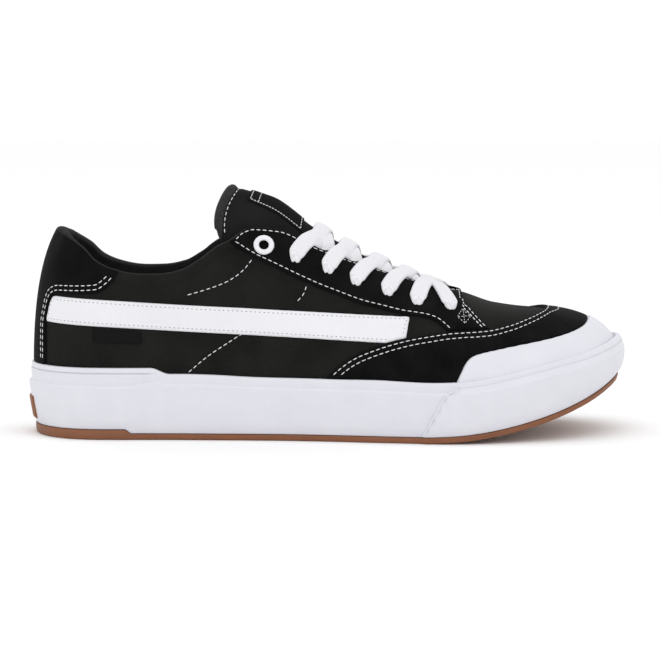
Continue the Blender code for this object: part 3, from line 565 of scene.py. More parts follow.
def node(tree, kind, links=(), **values):
    """Node with its properties, and its inputs from values or other sockets."""
    made = tree.nodes.new(kind)
    for name, value in values.items():
        setattr(made, name, value)
    for place, source in dict(links).items():
        if isinstance(source, bpy.types.NodeSocket):
            tree.links.new(source, made.inputs[place])
        else:
            made.inputs[place].default_value = source
    return made


def weave_group():
    """Height of a plain weave, from a vector in metres and a thread width."""
    group, given, result = group_of(
        "Weave",
        [("Vector", "NodeSocketVector", None), ("Thread", "NodeSocketFloat", 0.0005)],
        [("Height", "NodeSocketFloat")],
    )
    turn = node(group, "ShaderNodeMath", {0: math.pi, 1: given.outputs["Thread"]}, operation="DIVIDE")
    scaled = node(group, "ShaderNodeVectorMath", {0: given.outputs["Vector"], "Scale": turn.outputs[0]},
                  operation="SCALE")
    parts = node(group, "ShaderNodeSeparateXYZ", {0: scaled.outputs[0]})
    warp = node(group, "ShaderNodeMath", {0: parts.outputs[0]}, operation="SINE")
    weft = node(group, "ShaderNodeMath", {0: parts.outputs[1]}, operation="SINE")
    over = node(group, "ShaderNodeMath", {0: warp.outputs[0], 1: weft.outputs[0]}, operation="MULTIPLY")
    low = node(group, "ShaderNodeMath", {0: over.outputs[0], 1: 0.5, 2: 0.5}, operation="MULTIPLY_ADD")
    group.links.new(low.outputs[0], result.inputs["Height"])
    return group


def fleck_group():
    """Soft patches and fine grain in one value, from a vector in metres."""
    group, given, result = group_of(
        "Flecks",
        [("Vector", "NodeSocketVector", None), ("Size", "NodeSocketFloat", 0.001),
         ("Patches", "NodeSocketFloat", 0.4)],
        [("Value", "NodeSocketFloat"), ("Fine", "NodeSocketFloat")],
    )
    scale = node(group, "ShaderNodeMath", {0: 1.0, 1: given.outputs["Size"]}, operation="DIVIDE")
    fine = node(group, "ShaderNodeTexNoise",
                {"Vector": given.outputs["Vector"], "Scale": scale.outputs[0], "Detail": 3.0})
    wide_scale = node(group, "ShaderNodeMath", {0: scale.outputs[0], 1: 0.06}, operation="MULTIPLY")
    wide = node(group, "ShaderNodeTexNoise",
                {"Vector": given.outputs["Vector"], "Scale": wide_scale.outputs[0], "Detail": 2.0})
    both = node(group, "ShaderNodeMix",
                {"Factor": given.outputs["Patches"], "A": fine.outputs[0], "B": wide.outputs[0]})
    group.links.new(both.outputs[0], result.inputs["Value"])
    group.links.new(fine.outputs[0], result.inputs["Fine"])
    return group


weave = weave_group()
flecks = fleck_group()
print("shared effects:", [group.name for group in bpy.data.node_groups])


# %% [markdown]
# ### One function for each finish
#
# Each finish has its own shader, and takes a dark and a light tone. Real black
# canvas is never one black: patches and thread tops differ a little. Reading the
# tone from a noise or a weave gives that variation at the right scale.

# %%
def new_material(name):
    """Material with its shader, tree and the position on the object in metres."""
    made = bpy.data.materials.new(name)
    made.use_nodes = True
    tree = made.node_tree
    shader = tree.nodes["Principled BSDF"]
    place = tree.nodes.new("ShaderNodeTexCoord").outputs["Object"]
    return made, tree, shader, place


def uv_place(tree):
    """The position along the cloth in metres, which the mesh keeps as UVs."""
    return node(tree, "ShaderNodeUVMap", uv_map="lay").outputs["UV"]


def use_group(tree, group, **values):
    """Node that uses a group."""
    made = tree.nodes.new("ShaderNodeGroup")
    made.node_tree = group
    for label, source in values.items():
        if isinstance(source, bpy.types.NodeSocket):
            tree.links.new(source, made.inputs[label])
        else:
            made.inputs[label].default_value = source
    return made


def two_tones(tree, shader, value, dark, light, low=0.3, high=0.7):
    """Colour between two tones, from a value."""
    ramp = node(tree, "ShaderNodeMapRange", {"Value": value, "From Min": low, "From Max": high})
    mix = tree.nodes.new("ShaderNodeMix")
    mix.data_type = "RGBA"
    mix.inputs["A"].default_value = (*dark, 1.0)
    mix.inputs["B"].default_value = (*light, 1.0)
    tree.links.new(ramp.outputs[0], mix.inputs["Factor"])
    tree.links.new(mix.outputs["Result"], shader.inputs["Base Color"])


def bumps(tree, shader, height, depth, strength=1.0):
    """Small relief on the shading, its depth in metres."""
    bump = node(tree, "ShaderNodeBump", {"Strength": strength, "Distance": depth, "Height": height})
    tree.links.new(bump.outputs[0], shader.inputs["Normal"])


def plain_values(shader, **values):
    """Constant values on the shader's own sockets."""
    for label, value in values.items():
        shader.inputs[label.replace("_", " ")].default_value = value


def suede_material(name, dark, light):
    """Short nap: matte, with a soft sheen and a fine uneven grain."""
    made, tree, shader, place = new_material(name)
    grain = use_group(tree, flecks, Vector=place, Size=0.0007, Patches=0.55)
    two_tones(tree, shader, grain.outputs["Value"], dark, light, 0.35, 0.68)
    plain_values(shader, Roughness=0.95, Sheen_Weight=0.03, Sheen_Roughness=0.45,
                 Specular_IOR_Level=0.05)
    bumps(tree, shader, grain.outputs["Fine"], 0.0002, 0.7)
    return made


def canvas_material(name, dark, light, thread=0.00055):
    """Plain weave on the lay of the cloth."""
    made, tree, shader, place = new_material(name)
    lay = uv_place(tree)
    cloth = use_group(tree, weave, Vector=lay, Thread=thread)
    grain = use_group(tree, flecks, Vector=place, Size=0.0012, Patches=0.7)
    both = node(tree, "ShaderNodeMath",
                {0: cloth.outputs[0], 1: 0.45, 2: grain.outputs["Value"]}, operation="MULTIPLY_ADD")
    two_tones(tree, shader, both.outputs[0], dark, light, 0.35, 1.0)
    plain_values(shader, Roughness=0.9, Specular_IOR_Level=0.08, Sheen_Weight=0.03)
    bumps(tree, shader, cloth.outputs[0], 0.00016, 0.6)
    return made


def rubber_material(name, dark, light, roughness, grain_size=0.0008, depth=0.00004):
    """Moulded rubber with fine grain."""
    made, tree, shader, place = new_material(name)
    grain = use_group(tree, flecks, Vector=place, Size=grain_size, Patches=0.6)
    two_tones(tree, shader, grain.outputs["Value"], dark, light)
    rough = node(tree, "ShaderNodeMapRange",
                 {"Value": grain.outputs["Value"], "To Min": roughness - 0.08, "To Max": roughness + 0.1})
    tree.links.new(rough.outputs[0], shader.inputs["Roughness"])
    plain_values(shader, Specular_IOR_Level=0.4)
    bumps(tree, shader, grain.outputs["Fine"], depth, 0.6)
    return made


def leather_material(name, dark, light):
    """Coated leather: a pebbled grain under a thin glossy finish."""
    made, tree, shader, place = new_material(name)
    cells = node(tree, "ShaderNodeTexVoronoi", {"Vector": place, "Scale": 900.0},
                 feature="SMOOTH_F1")
    grain = use_group(tree, flecks, Vector=place, Size=0.002, Patches=0.6)
    two_tones(tree, shader, grain.outputs["Value"], dark, light)
    plain_values(shader, Roughness=0.42, Coat_Weight=0.12, Coat_Roughness=0.3)
    bumps(tree, shader, cells.outputs["Distance"], 0.00008, 0.5)
    return made


def braid_material(name, dark, light, thread, shine=0.3, fuzz=0.15):
    """Flat woven lace or tape, whose ribs slant to both edges."""
    made, tree, shader, _place = new_material(name)
    lay = uv_place(tree)
    parts = node(tree, "ShaderNodeSeparateXYZ", {0: lay})
    width = node(tree, "ShaderNodeMath", {0: parts.outputs[0]}, operation="ABSOLUTE")
    slant = node(tree, "ShaderNodeMath", {0: width.outputs[0], 1: 0.8, 2: parts.outputs[1]},
                 operation="MULTIPLY_ADD")
    turned = node(tree, "ShaderNodeCombineXYZ", {0: slant.outputs[0], 1: parts.outputs[0]})
    cloth = use_group(tree, weave, Vector=turned.outputs[0], Thread=thread)
    two_tones(tree, shader, cloth.outputs[0], dark, light, 0.0, 0.8)
    plain_values(shader, Roughness=0.85, Sheen_Weight=fuzz, Specular_IOR_Level=shine)
    bumps(tree, shader, cloth.outputs[0], 0.0002, 0.8)
    return made


def knit_material(name, dark, light, cell):
    """Spacer mesh: rows of small open cells."""
    made, tree, shader, place = new_material(name)
    cells = node(tree, "ShaderNodeTexVoronoi", {"Vector": place, "Scale": 1.0 / cell})
    two_tones(tree, shader, cells.outputs["Distance"], dark, light, 0.1, 0.6)
    plain_values(shader, Roughness=0.92, Specular_IOR_Level=0.1, Sheen_Weight=0.03)
    bumps(tree, shader, cells.outputs["Distance"], 0.0003, 0.6)
    return made


# %% [markdown]
# ### The finishes of this shoe
#
# White rubber, leather and lace are kept below full white, so that their relief
# still shows in bright light. Suede and canvas lie between 0.3 and 1.6 percent,
# which is as dark as they look in the photograph.

# %%
suede = suede_material("black suede", (0.0028, 0.0028, 0.0028), (0.0075, 0.0075, 0.0075))
canvas = canvas_material("black canvas", (0.0045, 0.0045, 0.0042), (0.016, 0.016, 0.0148))
tongue_cloth = canvas_material("tongue canvas", (0.005, 0.005, 0.005), (0.014, 0.014, 0.0136), 0.0007)
lining = knit_material("lining knit", (0.007, 0.007, 0.007), (0.016, 0.016, 0.016), 0.0008)
mesh_strip = knit_material("open mesh", (0.008, 0.008, 0.008), (0.034, 0.034, 0.034), 0.0007)
white_rubber = rubber_material("white rubber", (0.68, 0.68, 0.735), (0.72, 0.72, 0.775), 0.5)
gum = rubber_material("gum rubber", (0.19, 0.070, 0.030), (0.25, 0.094, 0.040), 0.55, 0.0011, 0.00008)
leather = leather_material("white leather", (0.74, 0.74, 0.77), (0.79, 0.79, 0.82))
thread = braid_material("white thread", (0.55, 0.55, 0.56), (0.85, 0.85, 0.86), 0.0004)
lace_cloth = braid_material("white lace", (0.66, 0.66, 0.69), (0.84, 0.84, 0.87), 0.0007)
label_cloth = braid_material("label tape", (0.003, 0.003, 0.003), (0.009, 0.009, 0.009), 0.0005, 0.1, 0.0)
thread_grey = braid_material("grey thread", (0.12, 0.12, 0.13), (0.3, 0.3, 0.32), 0.0004)
print("materials:", len(bpy.data.materials))

# %% [markdown]
# ## Tools for sheets and stitches
#
# A sheet of leather or cloth begins as a flat grid from `create_grid`, and a
# function lays its points on the skin. A UV map keeps where each point lay on
# the flat cloth, so that a weave follows the sheet.

# %%
DOUBLES = 0.00001
pieces_made = []


def placed(points):
    """Points in the shoe's own frame."""
    return np.asarray(points, float) - MIDDLE


def finish_piece(name, tool, material, replaces=None, slot=None, flat_angle=50):
    """Object of a bmesh, hung under the root body, with the frame part it replaces hidden."""
    bmesh.ops.remove_doubles(tool, verts=tool.verts, dist=DOUBLES)
    mesh = bpy.data.meshes.new(name)
    tool.to_mesh(mesh)
    tool.free()
    mesh.shade_smooth()
    if flat_angle:
        mesh.set_sharp_from_angle(angle=math.radians(flat_angle))
    made = bpy.data.objects.new(name, mesh)
    bpy.context.scene.collection.objects.link(made)
    for item in material if isinstance(material, list) else [material]:
        mesh.materials.append(item)
    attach(made, "root")
    if replaces:
        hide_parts(replaces)
    pieces_made.append(made)
    print(name, len(mesh.polygons), "faces")
    return made


def grid_sheet(across, upward, points, lay=None):
    """Grid whose points come from an array of across + 1 by upward + 1 points."""
    tool = bmesh.new()
    bmesh.ops.create_grid(tool, x_segments=across, y_segments=upward, size=0.5)
    places = np.array([vertex.co[:2] for vertex in tool.verts]) + 0.5
    steps = np.rint(places * (across, upward)).astype(int)
    flat = placed(points)[steps[:, 0], steps[:, 1]]
    for vertex, point in zip(tool.verts, flat.tolist()):
        vertex.co = point
    if lay is not None:
        lay_flat = lay[steps[:, 0], steps[:, 1]].tolist()
        layer = tool.loops.layers.uv.new("lay")
        tool.verts.index_update()
        for face in tool.faces:
            for loop in face.loops:
                loop[layer].uv = lay_flat[loop.vert.index]
    return tool


def joined(tools):
    """One bmesh from several."""
    whole = bmesh.new()
    mesh = bpy.data.meshes.new("join")
    for tool in tools:
        tool.to_mesh(mesh)
        tool.free()
        whole.from_mesh(mesh)
        mesh.clear_geometry()
    bpy.data.meshes.remove(mesh)
    return whole


def bell(value, middle, width):
    """Soft bump: 1 at the middle, nearly 0 at twice the width from it."""
    return np.exp(-((value - middle) / width) ** 2)


def softened(values, rounds):
    """Values smoothed along the first axis, ends kept."""
    for _round in range(rounds):
        values[1:-1] = (values[:-2] + 2 * values[1:-1] + values[2:]) / 4
    return values


def rounded(share):
    """Quarter-round profile from 0 to 1."""
    share = np.clip(share, 0.0, 1.0)
    return np.sqrt(1 - (1 - share) ** 2)


# %% [markdown]
# ### Fields
#
# A panel's shape is held as a field: for each point of the skin, how far it lies
# inside the cut line. Distances are measured along the leather and not through
# the air, so a rim or a row of stitches keeps an even width on a steep wall.

# %%
def inside_distance(outline, run, height):
    """Distance inside a closed outline, less than zero outside it."""
    best = np.full(run.shape, 1.0)
    crossings = np.zeros(run.shape, int)
    points = np.asarray(outline, float)
    for start, end in zip(points, np.roll(points, -1, axis=0)):
        line = end - start
        size = line @ line
        if size == 0:
            continue
        share = np.clip(((run - start[0]) * line[0] + (height - start[1]) * line[1]) / size, 0, 1)
        away = np.hypot(run - start[0] - share * line[0], height - start[1] - share * line[1])
        best = np.minimum(best, away)
        spans = (start[1] > height) != (end[1] > height)
        with np.errstate(divide="ignore", invalid="ignore"):
            meet = start[0] + (height - start[1]) / line[1] * line[0] if line[1] else run
        crossings += (spans & (run < meet)).astype(int)
    return np.where(crossings % 2 == 1, best, -best)


def surface_distance(field):
    """Distances along the surface near a field's zero line."""
    around = np.gradient(skin_points, axis=0)
    upward = np.gradient(skin_points, axis=1)
    field_around, field_up = np.gradient(field, axis=0), np.gradient(field, axis=1)
    aa, bb = (around ** 2).sum(-1), (upward ** 2).sum(-1)
    ab = (around * upward).sum(-1)
    area = np.maximum(aa * bb - ab * ab, 1e-16)
    steep = (bb * field_around ** 2 - 2 * ab * field_around * field_up + aa * field_up ** 2) / area
    return field / np.clip(np.sqrt(steep), 0.12, 1.5)


WELL_OUTSIDE = -0.02
side_sign = turn_and_side(lap_table)[1][:, None] * np.ones(RISES + 1)
side_sign[0] = side_sign[-1] = side_sign[LAPS // 2] = 0


def side_field(outline, side=None):
    """Field of an outline seen from the side, on one side of the shoe or on both."""
    field = inside_distance(outline, skin_points[..., 0], skin_points[..., 2])
    field = surface_distance(field)
    return field if side is None else np.where(side_sign == side, field, WELL_OUTSIDE)


# %% [markdown]
# ### Cutting a panel
#
# Faces that lie wholly outside the field are deleted, and the points that stick
# out slide back to the cut line. That gives a clean edge with no sliver faces,
# which a boolean on such a thin sheet would leave. The rim is rolled down in a
# quarter round, like leather that is skived at its edge.

# %%
cloth_run = np.linalg.norm(np.diff(skin_points[:, 0, :2], axis=0), axis=1)
cloth_run = np.concatenate(([0.0], np.cumsum(cloth_run)))
cloth_rise = np.linalg.norm(np.diff(skin_points, axis=1), axis=2)
cloth_rise = np.concatenate((np.zeros((LAPS + 1, 1)), np.cumsum(cloth_rise, axis=1)), axis=1)
cloth_lay = np.stack((cloth_run[:, None] * np.ones(RISES + 1), cloth_rise), -1)


def slid_to_line(values, lap, rise):
    """Laps and rises whose outside points moved to a neighbour's crossing of the line."""
    across, upward = values.shape
    moved = -np.ones(values.shape)
    new_lap, new_rise = lap.copy(), rise.copy()
    for step in (-1, 0, 1):
        for hop in (-1, 0, 1):
            if step == hop == 0:
                continue
            near = np.full(values.shape, -1.0)
            to = (slice(max(0, -step), across - max(0, step)), slice(max(0, -hop), upward - max(0, hop)))
            fro = (slice(max(0, step), across + min(0, step)), slice(max(0, hop), upward + min(0, hop)))
            near[to] = values[fro]
            with np.errstate(divide="ignore", invalid="ignore"):
                share = np.where((values <= 0) & (near > 0), near / (near - values), -1.0)
            better = share > moved
            moved = np.where(better, share, moved)
            new_lap = np.where(better, lap + step * (1 - share) * 2 / LAPS, new_lap)
            new_rise = np.where(better, rise + hop * (1 - share) / RISES, new_rise)
    return new_lap, new_rise


def panel(name, field, lift, thick, material, replaces=None, slot=None, roll=0.0010, relief=None):
    """Sheet over the part of the skin where a field is above zero, its rim rolled down."""
    inside = field[:-1] > 0
    ahead = np.roll(inside, -1, axis=0)
    keep = inside[:, :-1] | inside[:, 1:] | ahead[:, :-1] | ahead[:, 1:]
    used = keep.any(axis=1)
    count = int(used.sum())
    starts = np.flatnonzero(used & ~np.roll(used, 1))
    first = 0 if count == LAPS else int(starts[0])
    rows = np.flatnonzero(keep.any(axis=0))
    low, high = int(rows[0]), int(rows[-1]) + 1
    columns = (first + np.arange(count + 1)) % LAPS
    values = field[columns][:, low:high + 1]
    lap = (lap_table[first] + np.arange(count + 1) * 2 / LAPS)[:, None] + np.zeros(high - low + 1)
    rise = np.zeros((count + 1, 1)) + rise_table[low:high + 1]
    new_lap, new_rise = slid_to_line(values, lap, rise)
    depth = np.where(values > 0, values, 0.0)
    out = lift + thick * rounded(depth / roll)
    if relief is not None:
        out = out + relief[columns][:, low:high + 1] * (values > 0)
    points = skin(new_lap, new_rise, out)
    lay = np.stack((table_value(cloth_lay[..., 0], new_lap, new_rise),
                    table_value(cloth_lay[..., 1], new_lap, new_rise)), -1)
    tool = grid_sheet(count, high - low, points, lay)
    keep_cells = keep[(first + np.arange(count)) % LAPS][:, low:high]
    tool.faces.ensure_lookup_table()
    cells = keep_cells.T.ravel()
    gone = [face for face, kept in zip(tool.faces, cells.tolist()) if not kept]
    bmesh.ops.delete(tool, geom=gone, context="FACES")
    return finish_piece(name, tool, material, replaces, slot)


print("flat cloth round the foot of the upper:", round(float(cloth_run[-1]), 4))

# %% [markdown]
# ## The rubber cup and its tread
#
# A cup sole is moulded in one piece and stitched or glued to the upper, so it
# is a loft: one section carried round the outline. The section has a corner
# for each edge that catches light, such as the rim, the ridge under it and the
# groove round the heel. The toe bumper is the same section pushed out a little.

# %%
SOLE_LAPS, CORNER_ANGLE = 720, 40
HEEL_RIDGE_DROP = 0.004
SEAM_FOOT, SEAM_SLANT, SEAM_HEIGHT, SEAM_SOFT = 0.650, 0.055, 0.030, 0.003


def ridge_height(along):
    """Height of the ridge round the cup, lower round the heel."""
    return rim_height(along) - TAPE_HEIGHT - HEEL_RIDGE_DROP * (1 - smooth_step(0.17, 0.25, along))


def cup_bottom(along):
    """Height of the underside of the cup, just over the tread."""
    return spring_at(along) + tread_at(along) + GAP


def bumper_out(along, height):
    """How far the toe bumper stands out at a point of the wall."""
    seam = SEAM_FOOT + SEAM_SLANT * (height - spring_at(along)) / SEAM_HEIGHT
    return BUMPER_OUT * smooth_step(seam - SEAM_SOFT, seam + SEAM_SOFT, along)


sole_laps = np.linspace(0, 2, SOLE_LAPS + 1)
sole_along = outline_at(sole_laps)[:, 0] / SOLE_RUN


def ring_points(levels, laps=sole_laps):
    """Grid of points from levels: distance out, height, and 0 to close at the middle."""
    rows = []
    for out, height, share in levels:
        flat = outline_at(laps, np.zeros(len(laps)) + out)
        middle = (flat + flat[::-1]) / 2
        flat = middle + (flat - middle) * share
        rows.append(np.column_stack((flat, np.zeros(len(laps)) + height)))
    return np.stack(rows, 1)


def loft(name, levels, material, **declared):
    """Closed ring of sections round the outline."""
    points = ring_points(levels)
    tool = grid_sheet(SOLE_LAPS, len(levels) - 1, points, points[..., ::2])
    bmesh.ops.remove_doubles(tool, verts=tool.verts, dist=2 * DOUBLES)
    bmesh.ops.recalc_face_normals(tool, faces=tool.faces)
    return finish_piece(name, tool, material, flat_angle=CORNER_ANGLE, **declared)


# %% [markdown]
# The section of the cup is listed from the floor inside, over the rim and down
# the wall to the underside. Two details give it its look: a thin slot under the
# rim at the heel, and a wall that leans in towards its foot with a slight belly.

# %%
toe_share = smooth_step(0.69, 0.73, sole_along)
heel_share = 1 - smooth_step(0.205, 0.222, sole_along)
inside = -UPPER_INSET + GAP
tape = -TAPE_SET * (1 - 0.7 * toe_share)
rim, ridge, bottom = rim_height(sole_along), ridge_height(sole_along), cup_bottom(sole_along)
slot_at = rim - 0.0028
tip = smooth_step(0.88, 0.97, sole_along)
ridge_out = bumper_out(sole_along, ridge)
low_out = bumper_out(sole_along, bottom) - CUP_LEAN
wall_mid = (ridge + bottom) / 2
mid_out = bumper_out(sole_along, wall_mid) - CUP_BELLY * CUP_LEAN * (1 - 0.85 * tip)
upper_wall, lower_wall = (ridge + wall_mid) / 2, (wall_mid + bottom) / 2
upper_wall_out = bumper_out(sole_along, upper_wall) - 0.5 * CUP_BELLY * CUP_LEAN * (1 - tip)
lower_wall_out = bumper_out(sole_along, lower_wall) - 0.5 * (1 + CUP_BELLY) * CUP_LEAN * (1 - 0.5 * tip)
loft("cup_sole", (
    # floor and inner wall
    (inside, board_at(sole_along), 0.0),
    (inside, board_at(sole_along), 1.0),
    (inside, rim - 0.0005, 1.0),
    (inside + 0.0004, rim, 1.0),
    # rim, then the slot under it
    (tape - 0.0007 - 0.0012 * tip, rim, 1.0),
    (tape - 0.0002 - 0.0005 * tip, rim - 0.0002 - 0.0004 * tip, 1.0),
    (tape, rim - 0.0008 - 0.0013 * tip, 1.0),
    (tape, slot_at + 0.0005, 1.0),
    (tape - 0.0006 * heel_share, slot_at + 0.0001, 1.0),
    (tape + 0.0003 * heel_share, slot_at - 0.0004, 1.0),
    # ridge
    (tape * (1 - 0.4 * toe_share), ridge + 0.0009 + 0.002 * toe_share, 1.0),
    (ridge_out - 0.0006, ridge + 0.0003, 1.0),
    (ridge_out - 0.0001, ridge - 0.0001, 1.0),
    (ridge_out - 0.0001, ridge - 0.0009, 1.0),
    # wall
    (upper_wall_out, upper_wall, 1.0),
    (mid_out, wall_mid, 1.0),
    (lower_wall_out, lower_wall, 1.0),
    # foot and underside
    (low_out, bottom + 0.0004, 1.0),
    (low_out - 0.0004, bottom, 1.0),
    (low_out, bottom, 0.0),
), white_rubber, replaces="midsole", slot="white_rubber")

# %% [markdown]
# The gum tread is the same kind of loft, flush with the foot of the cup. Cross
# grooves lie inside a smooth border. They leave two plain spots, under the heel
# and under the ball, where the sole rests on the floor.

# %%
GROOVE_DEPTH, GROOVE_WIDTH, GROOVE_PITCH, GROOVE_MARGIN = 0.0013, 0.0024, 0.0088, 0.0085
FIRST_GROOVE, GROOVE_SOFT = 0.014, 0.0003
REST_SPOTS, REST_HALF = (0.040, 0.190), 0.0075
GROOVED_PARTS = ((0.03, 0.155), (0.185, 0.96))

tread_top = spring_at(sole_along) + tread_at(sole_along)
floor_line = spring_at(sole_along)
run_here = sole_along * SOLE_RUN
off_groove = np.abs((run_here - FIRST_GROOVE + GROOVE_PITCH / 2) % GROOVE_PITCH - GROOVE_PITCH / 2)
grooves = 1 - smooth_step(GROOVE_WIDTH / 2 - GROOVE_SOFT, GROOVE_WIDTH / 2 + GROOVE_SOFT, off_groove)
for spot in REST_SPOTS:
    grooves = grooves * (np.abs(run_here - spot) > REST_HALF + GROOVE_WIDTH / 2)
grooves = grooves * sum((sole_along > start) & (sole_along < end) for start, end in GROOVED_PARTS)
cut_line = floor_line + GROOVE_DEPTH * grooves
loft("gum_tread", (
    (low_out, tread_top, 0.0),
    (low_out, tread_top, 1.0),
    (low_out + 0.0002, tread_top - 0.0003, 1.0),
    (low_out + 0.0001, floor_line + TREAD_CHAMFER + 0.0006, 1.0),
    (low_out - 0.0003, floor_line + 0.0004, 1.0),
    (low_out - TREAD_CHAMFER, floor_line, 1.0),
    (low_out - GROOVE_MARGIN + GROOVE_SOFT, floor_line, 1.0),
    (low_out - GROOVE_MARGIN - GROOVE_SOFT, cut_line, 1.0),
    (low_out - GROOVE_MARGIN, cut_line, 0.6),
    (low_out - GROOVE_MARGIN, cut_line, 0.0),
), gum, replaces="outsole", slot="gum_rubber")

# %% [markdown]
# The footbed lies loose in the cup. It is a thin pad with a slightly raised
# border, as a moulded insole has.

# %%
foot_edge = -UPPER_INSET - WALL - 3 * GAP
loft("footbed", (
    (foot_edge, board_at(sole_along) + 0.8 * INSOLE, 0.0),
    (foot_edge - 0.0100, board_at(sole_along) + 0.8 * INSOLE, 1.0),
    (foot_edge - 0.0030, board_at(sole_along) + INSOLE, 1.0),
    (foot_edge - 0.0006, board_at(sole_along) + INSOLE, 1.0),
    (foot_edge, board_at(sole_along) + 0.85 * INSOLE, 1.0),
    (foot_edge, board_at(sole_along) + GAP, 1.0),
    (foot_edge, board_at(sole_along) + GAP, 0.0),
), lining, replaces="insole", slot="dark_lining")

# %% [markdown]
# The toe bumper starts at a slanting seam. Its edge is a thin raised line, made
# as a small tube that is half sunk in the wall on both sides of the shoe.

# %%
BEAD, BEAD_STEPS, BEAD_SIDES = 0.00042, 40, 8
BEAD_FLAT, BEAD_SUNK = 1.6, 0.0001
bead_high = np.linspace(0.0038, 0.0285, BEAD_STEPS + 1)
bead_curl = 0.014 * smooth_step(0.021, SEAM_HEIGHT, bead_high) ** 2
bead_along = SEAM_FOOT + SEAM_SLANT * bead_high / SEAM_HEIGHT + bead_curl
WALL_FOOT, WALL_TOP = 0.004, 0.026
wall_heights = (WALL_FOOT, (WALL_FOOT + WALL_TOP) / 2, WALL_TOP)
wall_out = np.interp(bead_high, wall_heights, (-CUP_LEAN, -CUP_BELLY * CUP_LEAN, 0.0)) + BUMPER_OUT
half_laps = sole_laps[:SOLE_LAPS // 2 + 1]
bead_lap = np.interp(bead_along, sole_along[:SOLE_LAPS // 2 + 1], half_laps)
bead_tools = []
for laps in (bead_lap, 2 - bead_lap):
    rows = []
    for turn in np.linspace(0, 2 * math.pi, BEAD_SIDES + 1):
        flat = outline_at(laps, wall_out + BEAD * math.cos(turn) - BEAD_SUNK)
        slid = outline_at(laps + 0.001, wall_out) - outline_at(laps - 0.001, wall_out)
        slid /= np.linalg.norm(slid, axis=1, keepdims=True)
        rows.append(np.column_stack((flat + slid * BEAD * BEAD_FLAT * math.sin(turn), bead_high)))
    bead_tools.append(grid_sheet(BEAD_STEPS, BEAD_SIDES, np.stack(rows, 1)))
whole = joined(bead_tools)
bmesh.ops.recalc_face_normals(whole, faces=whole.faces)
finish_piece("bumper_seam_bead", whole, white_rubber, slot="white_rubber", flat_angle=None)

# %% [markdown]
# A bare gum patch is let into the back of the cup. Its sheet follows the cup's
# wall and rolls down at the rim, as a glued rubber patch does.

# %%
PATCH_LOW, PATCH_HIGH, PATCH_HALF, PATCH_THICK = 0.0075, 0.0190, 0.0135, 0.0008
PATCH_SUNK, PATCH_ROLL = 0.0002, 0.0010
PATCH_ACROSS, PATCH_UP = 60, 30
patch_u, patch_v = np.meshgrid(
    np.linspace(-1, 1, PATCH_ACROSS + 1), np.linspace(0, 1, PATCH_UP + 1), indexing="ij"
)
patch_height = PATCH_LOW + (PATCH_HIGH - PATCH_LOW) * patch_v
patch_share = (patch_height - cup_bottom(0.0)) / (ridge_height(0.0) - cup_bottom(0.0))
patch_lean = CUP_LEAN * np.where(
    patch_share < 0.5, 1 - 2 * (1 - CUP_BELLY) * patch_share, 2 * CUP_BELLY * (1 - patch_share)
)
patch_lap = np.mod(-patch_u * PATCH_HALF / OUTLINE_TOE, 2.0)
rim_room = np.minimum(
    (1 - np.abs(patch_u)) * PATCH_HALF,
    np.minimum(patch_v, 1 - patch_v) * (PATCH_HIGH - PATCH_LOW),
)
patch_rise = (GAP + PATCH_THICK + PATCH_SUNK) * rounded(rim_room / PATCH_ROLL)
patch_out = -patch_lean - PATCH_SUNK + patch_rise
patch_flat = outline_at(patch_lap.ravel(), patch_out.ravel()).reshape(*patch_u.shape, 2)
patch_points = np.concatenate((patch_flat, patch_height[..., None]), -1)
tool = grid_sheet(PATCH_ACROSS, PATCH_UP, patch_points)
finish_piece("heel_patch_rubber", tool, gum, "heel_patch", "gum_rubber")

# %% [markdown]
# ## Fields of the upper's panels
#
# Each panel's cut line is drawn in the side view, as on a shoe designer's
# sheet. The fields combine by smallest value: a panel keeps what lies inside
# every line. Holes are fields as well, so the same tool punches them.

# %%
def side_place(along, up):
    """Run and height of a point given by its two shares."""
    along = np.asarray(along, float)
    return along * LENGTH, board_at(along) + np.asarray(up) * height_at(along)


def shares_line(rows):
    """Rows of shares as an array of run and height."""
    rows = np.array(rows)
    return np.stack(side_place(rows[:, 0], rows[:, 1]), -1)


def smooth_line(points, step=0.0006):
    """Curve through a line's points, at even steps."""
    points = np.asarray(points, float)
    knots = np.concatenate(([0.0], np.cumsum(np.linalg.norm(np.diff(points, axis=0), axis=1))))
    tracks = [Track(knots, points[:, place]) for place in range(points.shape[1])]
    count = max(2, int(knots[-1] / step))
    places = np.linspace(0, knots[-1], count + 1)
    return np.stack([track(places) for track in tracks], -1)


def closed_by(line, *corners):
    """Outline of a line and far corners."""
    return np.concatenate((line, np.array(corners)))


FAR, STAY_SITS, RIM_TUCK = 0.4, 0.0013, 0.0008
counter_line = smooth_line(shares_line(COUNTER_FRONT))
toe_line = smooth_line(shares_line(TOE_OVERLAY_EDGE))
cap_line = smooth_line(shares_line(CAP_EDGE))
stay_low = smooth_line(shares_line(EYESTAY_LOWER)) - np.array((0, STAY_SITS))
stay_front = smooth_line(shares_line(EYESTAY_FRONT)) - np.array((0, STAY_SITS))

